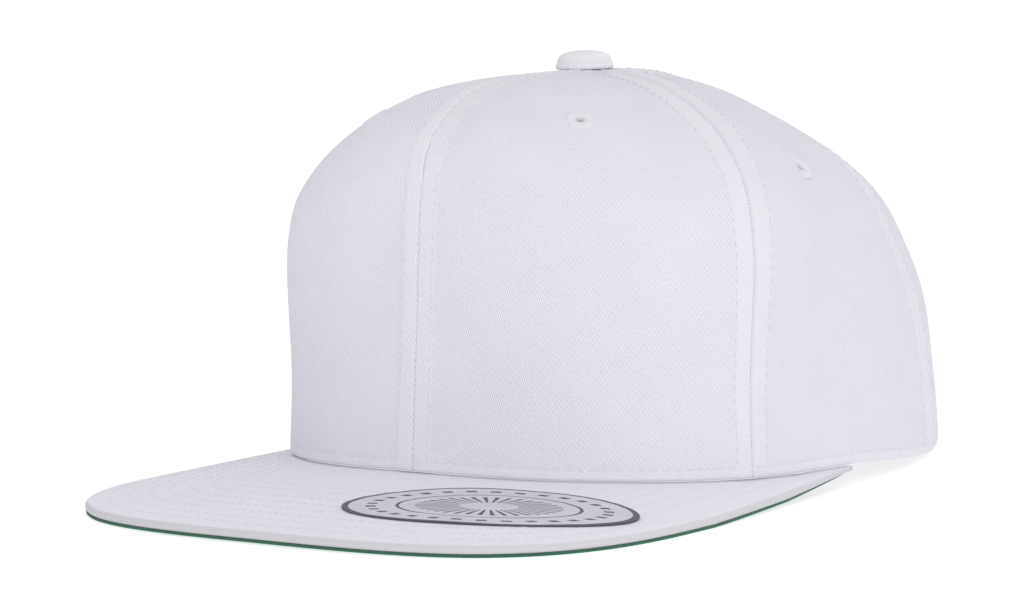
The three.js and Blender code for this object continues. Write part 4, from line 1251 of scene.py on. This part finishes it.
# The print's rings, as shares of the way out from the sticker's middle
BORDER_FROM = 0.955
RAYS_FROM, RAYS_TO = 0.2, 0.5
DOT_RING, DOT_HALF_WIDTH = 0.8, 0.035
LINE_RING, LINE_HALF_WIDTH = 0.62, 0.012
RAY_COUNT = 36
DOT_COUNT = 30
FOIL_LOW = (0.57, 0.57, 0.635)
FOIL_HIGH = (0.73, 0.73, 0.79)
INK = (0.1, 0.1, 0.125)


def foil_material():
    material, tree, shader = new_material("printed foil")
    place = tree.nodes.new("ShaderNodeUVMap")
    place.uv_map = "print"
    u, v, _ = split(tree, place.outputs["UV"])
    squares = maths(tree, "ADD", maths(tree, "MULTIPLY", u, u), maths(tree, "MULTIPLY", v, v))
    radius = maths(tree, "SQRT", squares)
    turn = maths(tree, "ARCTAN2", v, u)
    border = maths(tree, "GREATER_THAN", radius, BORDER_FROM)
    rays = maths(tree, "SINE", maths(tree, "MULTIPLY", turn, RAY_COUNT))
    rays = maths(tree, "GREATER_THAN", rays, 0.35)
    outside = maths(tree, "GREATER_THAN", radius, RAYS_FROM)
    inside = maths(tree, "LESS_THAN", radius, RAYS_TO)
    fan = maths(tree, "MULTIPLY", rays, maths(tree, "MULTIPLY", outside, inside))
    dots = maths(tree, "COSINE", maths(tree, "MULTIPLY", turn, DOT_COUNT))
    dots = maths(tree, "GREATER_THAN", dots, 0.2)
    dotted = maths(tree, "MULTIPLY", dots, maths(tree, "COMPARE", radius, DOT_RING, DOT_HALF_WIDTH))
    line = maths(tree, "COMPARE", radius, LINE_RING, LINE_HALF_WIDTH)
    ink = maths(tree, "MAXIMUM", border, fan)
    ink = maths(tree, "MAXIMUM", ink, maths(tree, "MAXIMUM", dotted, line))
    foil = mixed(tree, noise(tree, place.outputs["UV"], scale=3, detail=2), FOIL_LOW, FOIL_HIGH)
    tree.links.new(mixed(tree, ink, foil, INK), shader.inputs["Base Color"])
    shader.inputs["Metallic"].default_value = 0.25
    tree.links.new(maths(tree, "MULTIPLY_ADD", ink, 0.2, 0.35), shader.inputs["Roughness"])
    return material


add_piece("foil_sticker", sticker_mesh(), foil_material(), "sticker_foil", "sticker")

# Studio
# A wide white light table under a white sky that is a little darker to the camera's left, with a large
# soft lamp behind the camera, so that the white cloth is lit nearly without shadow.
FLOOR_SIZE = 60
FLOOR_GLOW = 0.7
FLOOR_GLOW_IN_PAINTED_SHADE = 0.12
GLOW_GROWS_FROM, GLOW_GROWS_TO = 0.15, 0.6
FLOOR_WHITE = 0.4
# The camera's place and aim are in millimetres from the middle of the opening
CAMERA_PLACE = (644.4, -891.5, 157.2)
CAMERA_AIM = (-29.25, -16.42, 45.32)
CAMERA_ROLL = -1.65
FOCAL_PIXELS = 3876
IMAGE_WIDTH = 1024
SENSOR_WIDTH = 36
CAMERA_RIGHT = (0.794, 0.607, 0)
SKY_LEFT = 0.6
SKY_RIGHT = 0.93
SKY_DIMS_FROM, SKY_DIMS_TO = -0.15, -0.75
LAMP_PLACE = (0.75, -1.15, 0.5)
LAMP_AIM = (0, 0, 0.03)
LAMP_SIZE = 1.2
LAMP_POWER = 3.7

scene = bpy.context.scene
floor_mesh = bpy.data.meshes.new("floor")
half = FLOOR_SIZE / 2
corners = [(-half, -half, 0), (half, -half, 0), (half, half, 0), (-half, half, 0)]
floor_mesh.from_pydata(corners, [], [(0, 1, 2, 3)])
floor = bpy.data.objects.new("floor", floor_mesh)
scene.collection.objects.link(floor)
floor_paint, floor_tree, floor_shader = new_material("floor paint")
floor_shader.inputs["Base Color"].default_value = (FLOOR_WHITE, FLOOR_WHITE, FLOOR_WHITE, 1)
floor_shader.inputs["Emission Color"].default_value = (1, 1, 1, 1)
floor_shader.inputs["Roughness"].default_value = 0.8
floor_shader.inputs["Specular IOR Level"].default_value = 0.1

# It glows less under the cap: painted shade on the floor, standing in for the cap's own shade that keeps the
# hollow dim
place = floor_tree.nodes.new("ShaderNodeTexCoord")
across_rim = floor_tree.nodes.new("ShaderNodeVectorMath")
across_rim.operation = "MULTIPLY_ADD"
across_rim.inputs[1].default_value = (1 / (RIM_HALF_WIDTH * MM), 1 / (RIM_HALF_LENGTH * MM), 0)
across_rim.inputs[2].default_value = (0, -OPENING_BACK / RIM_HALF_LENGTH, 0)
floor_tree.links.new(place.outputs["Object"], across_rim.inputs[0])
from_middle = floor_tree.nodes.new("ShaderNodeVectorMath")
from_middle.operation = "LENGTH"
floor_tree.links.new(across_rim.outputs[0], from_middle.inputs[0])
glow_with_painted_shade = floor_tree.nodes.new("ShaderNodeMapRange")
glow_with_painted_shade.inputs["From Min"].default_value = GLOW_GROWS_FROM
glow_with_painted_shade.inputs["From Max"].default_value = GLOW_GROWS_TO
glow_with_painted_shade.inputs["To Min"].default_value = FLOOR_GLOW_IN_PAINTED_SHADE
glow_with_painted_shade.inputs["To Max"].default_value = FLOOR_GLOW
floor_tree.links.new(from_middle.outputs["Value"], glow_with_painted_shade.inputs["Value"])
floor_tree.links.new(glow_with_painted_shade.outputs["Result"], floor_shader.inputs["Emission Strength"])

# It can be seen through from beneath
underneath = floor_tree.nodes.new("ShaderNodeNewGeometry")
clear = floor_tree.nodes.new("ShaderNodeBsdfTransparent")
one_sided = floor_tree.nodes.new("ShaderNodeMixShader")
floor_tree.links.new(underneath.outputs["Backfacing"], one_sided.inputs[0])
floor_tree.links.new(floor_shader.outputs[0], one_sided.inputs[1])
floor_tree.links.new(clear.outputs[0], one_sided.inputs[2])
floor_tree.links.new(one_sided.outputs[0], floor_tree.nodes["Material Output"].inputs["Surface"])
floor_mesh.materials.append(floor_paint)

world = bpy.data.worlds.new("studio")
scene.world = world
world.use_nodes = True
sky = world.node_tree.nodes["Background"]
sky.inputs["Color"].default_value = (1, 1, 1, 1)
direction = world.node_tree.nodes.new("ShaderNodeTexCoord")
rightward = world.node_tree.nodes.new("ShaderNodeVectorMath")
rightward.operation = "DOT_PRODUCT"
rightward.inputs[1].default_value = CAMERA_RIGHT
world.node_tree.links.new(direction.outputs["Generated"], rightward.inputs[0])
dimmed = world.node_tree.nodes.new("ShaderNodeMapRange")
dimmed.interpolation_type = "SMOOTHSTEP"
dimmed.inputs["From Min"].default_value = SKY_DIMS_TO
dimmed.inputs["From Max"].default_value = SKY_DIMS_FROM
dimmed.inputs["To Min"].default_value = SKY_LEFT
dimmed.inputs["To Max"].default_value = SKY_RIGHT
world.node_tree.links.new(rightward.outputs["Value"], dimmed.inputs["Value"])
world.node_tree.links.new(dimmed.outputs["Result"], sky.inputs["Strength"])

lamp_light = bpy.data.lights.new("front lamp", "AREA")
lamp_light.shape = "DISK"
lamp_light.size = LAMP_SIZE
lamp_light.energy = LAMP_POWER
lamp = bpy.data.objects.new("front lamp", lamp_light)
scene.collection.objects.link(lamp)
lamp.location = LAMP_PLACE
lamp.rotation_mode = "QUATERNION"
lamp.rotation_quaternion = (Vector(LAMP_AIM) - Vector(LAMP_PLACE)).to_track_quat("-Z", "Y")

camera_data = bpy.data.cameras.new("camera")
camera_data.sensor_width = SENSOR_WIDTH
camera_data.sensor_fit = "HORIZONTAL"
camera_data.lens = FOCAL_PIXELS * SENSOR_WIDTH / IMAGE_WIDTH
camera_data.clip_end = 100
camera = bpy.data.objects.new("camera", camera_data)
scene.collection.objects.link(camera)
place, aim = Vector(in_frame(CAMERA_PLACE)), Vector(in_frame(CAMERA_AIM))
camera.location = place
camera.rotation_mode = "QUATERNION"
level = (aim - place).to_track_quat("-Z", "Y")
camera.rotation_quaternion = level @ Quaternion((0, 0, 1), math.radians(CAMERA_ROLL))
scene.camera = camera
scene.view_settings.view_transform = "Standard"
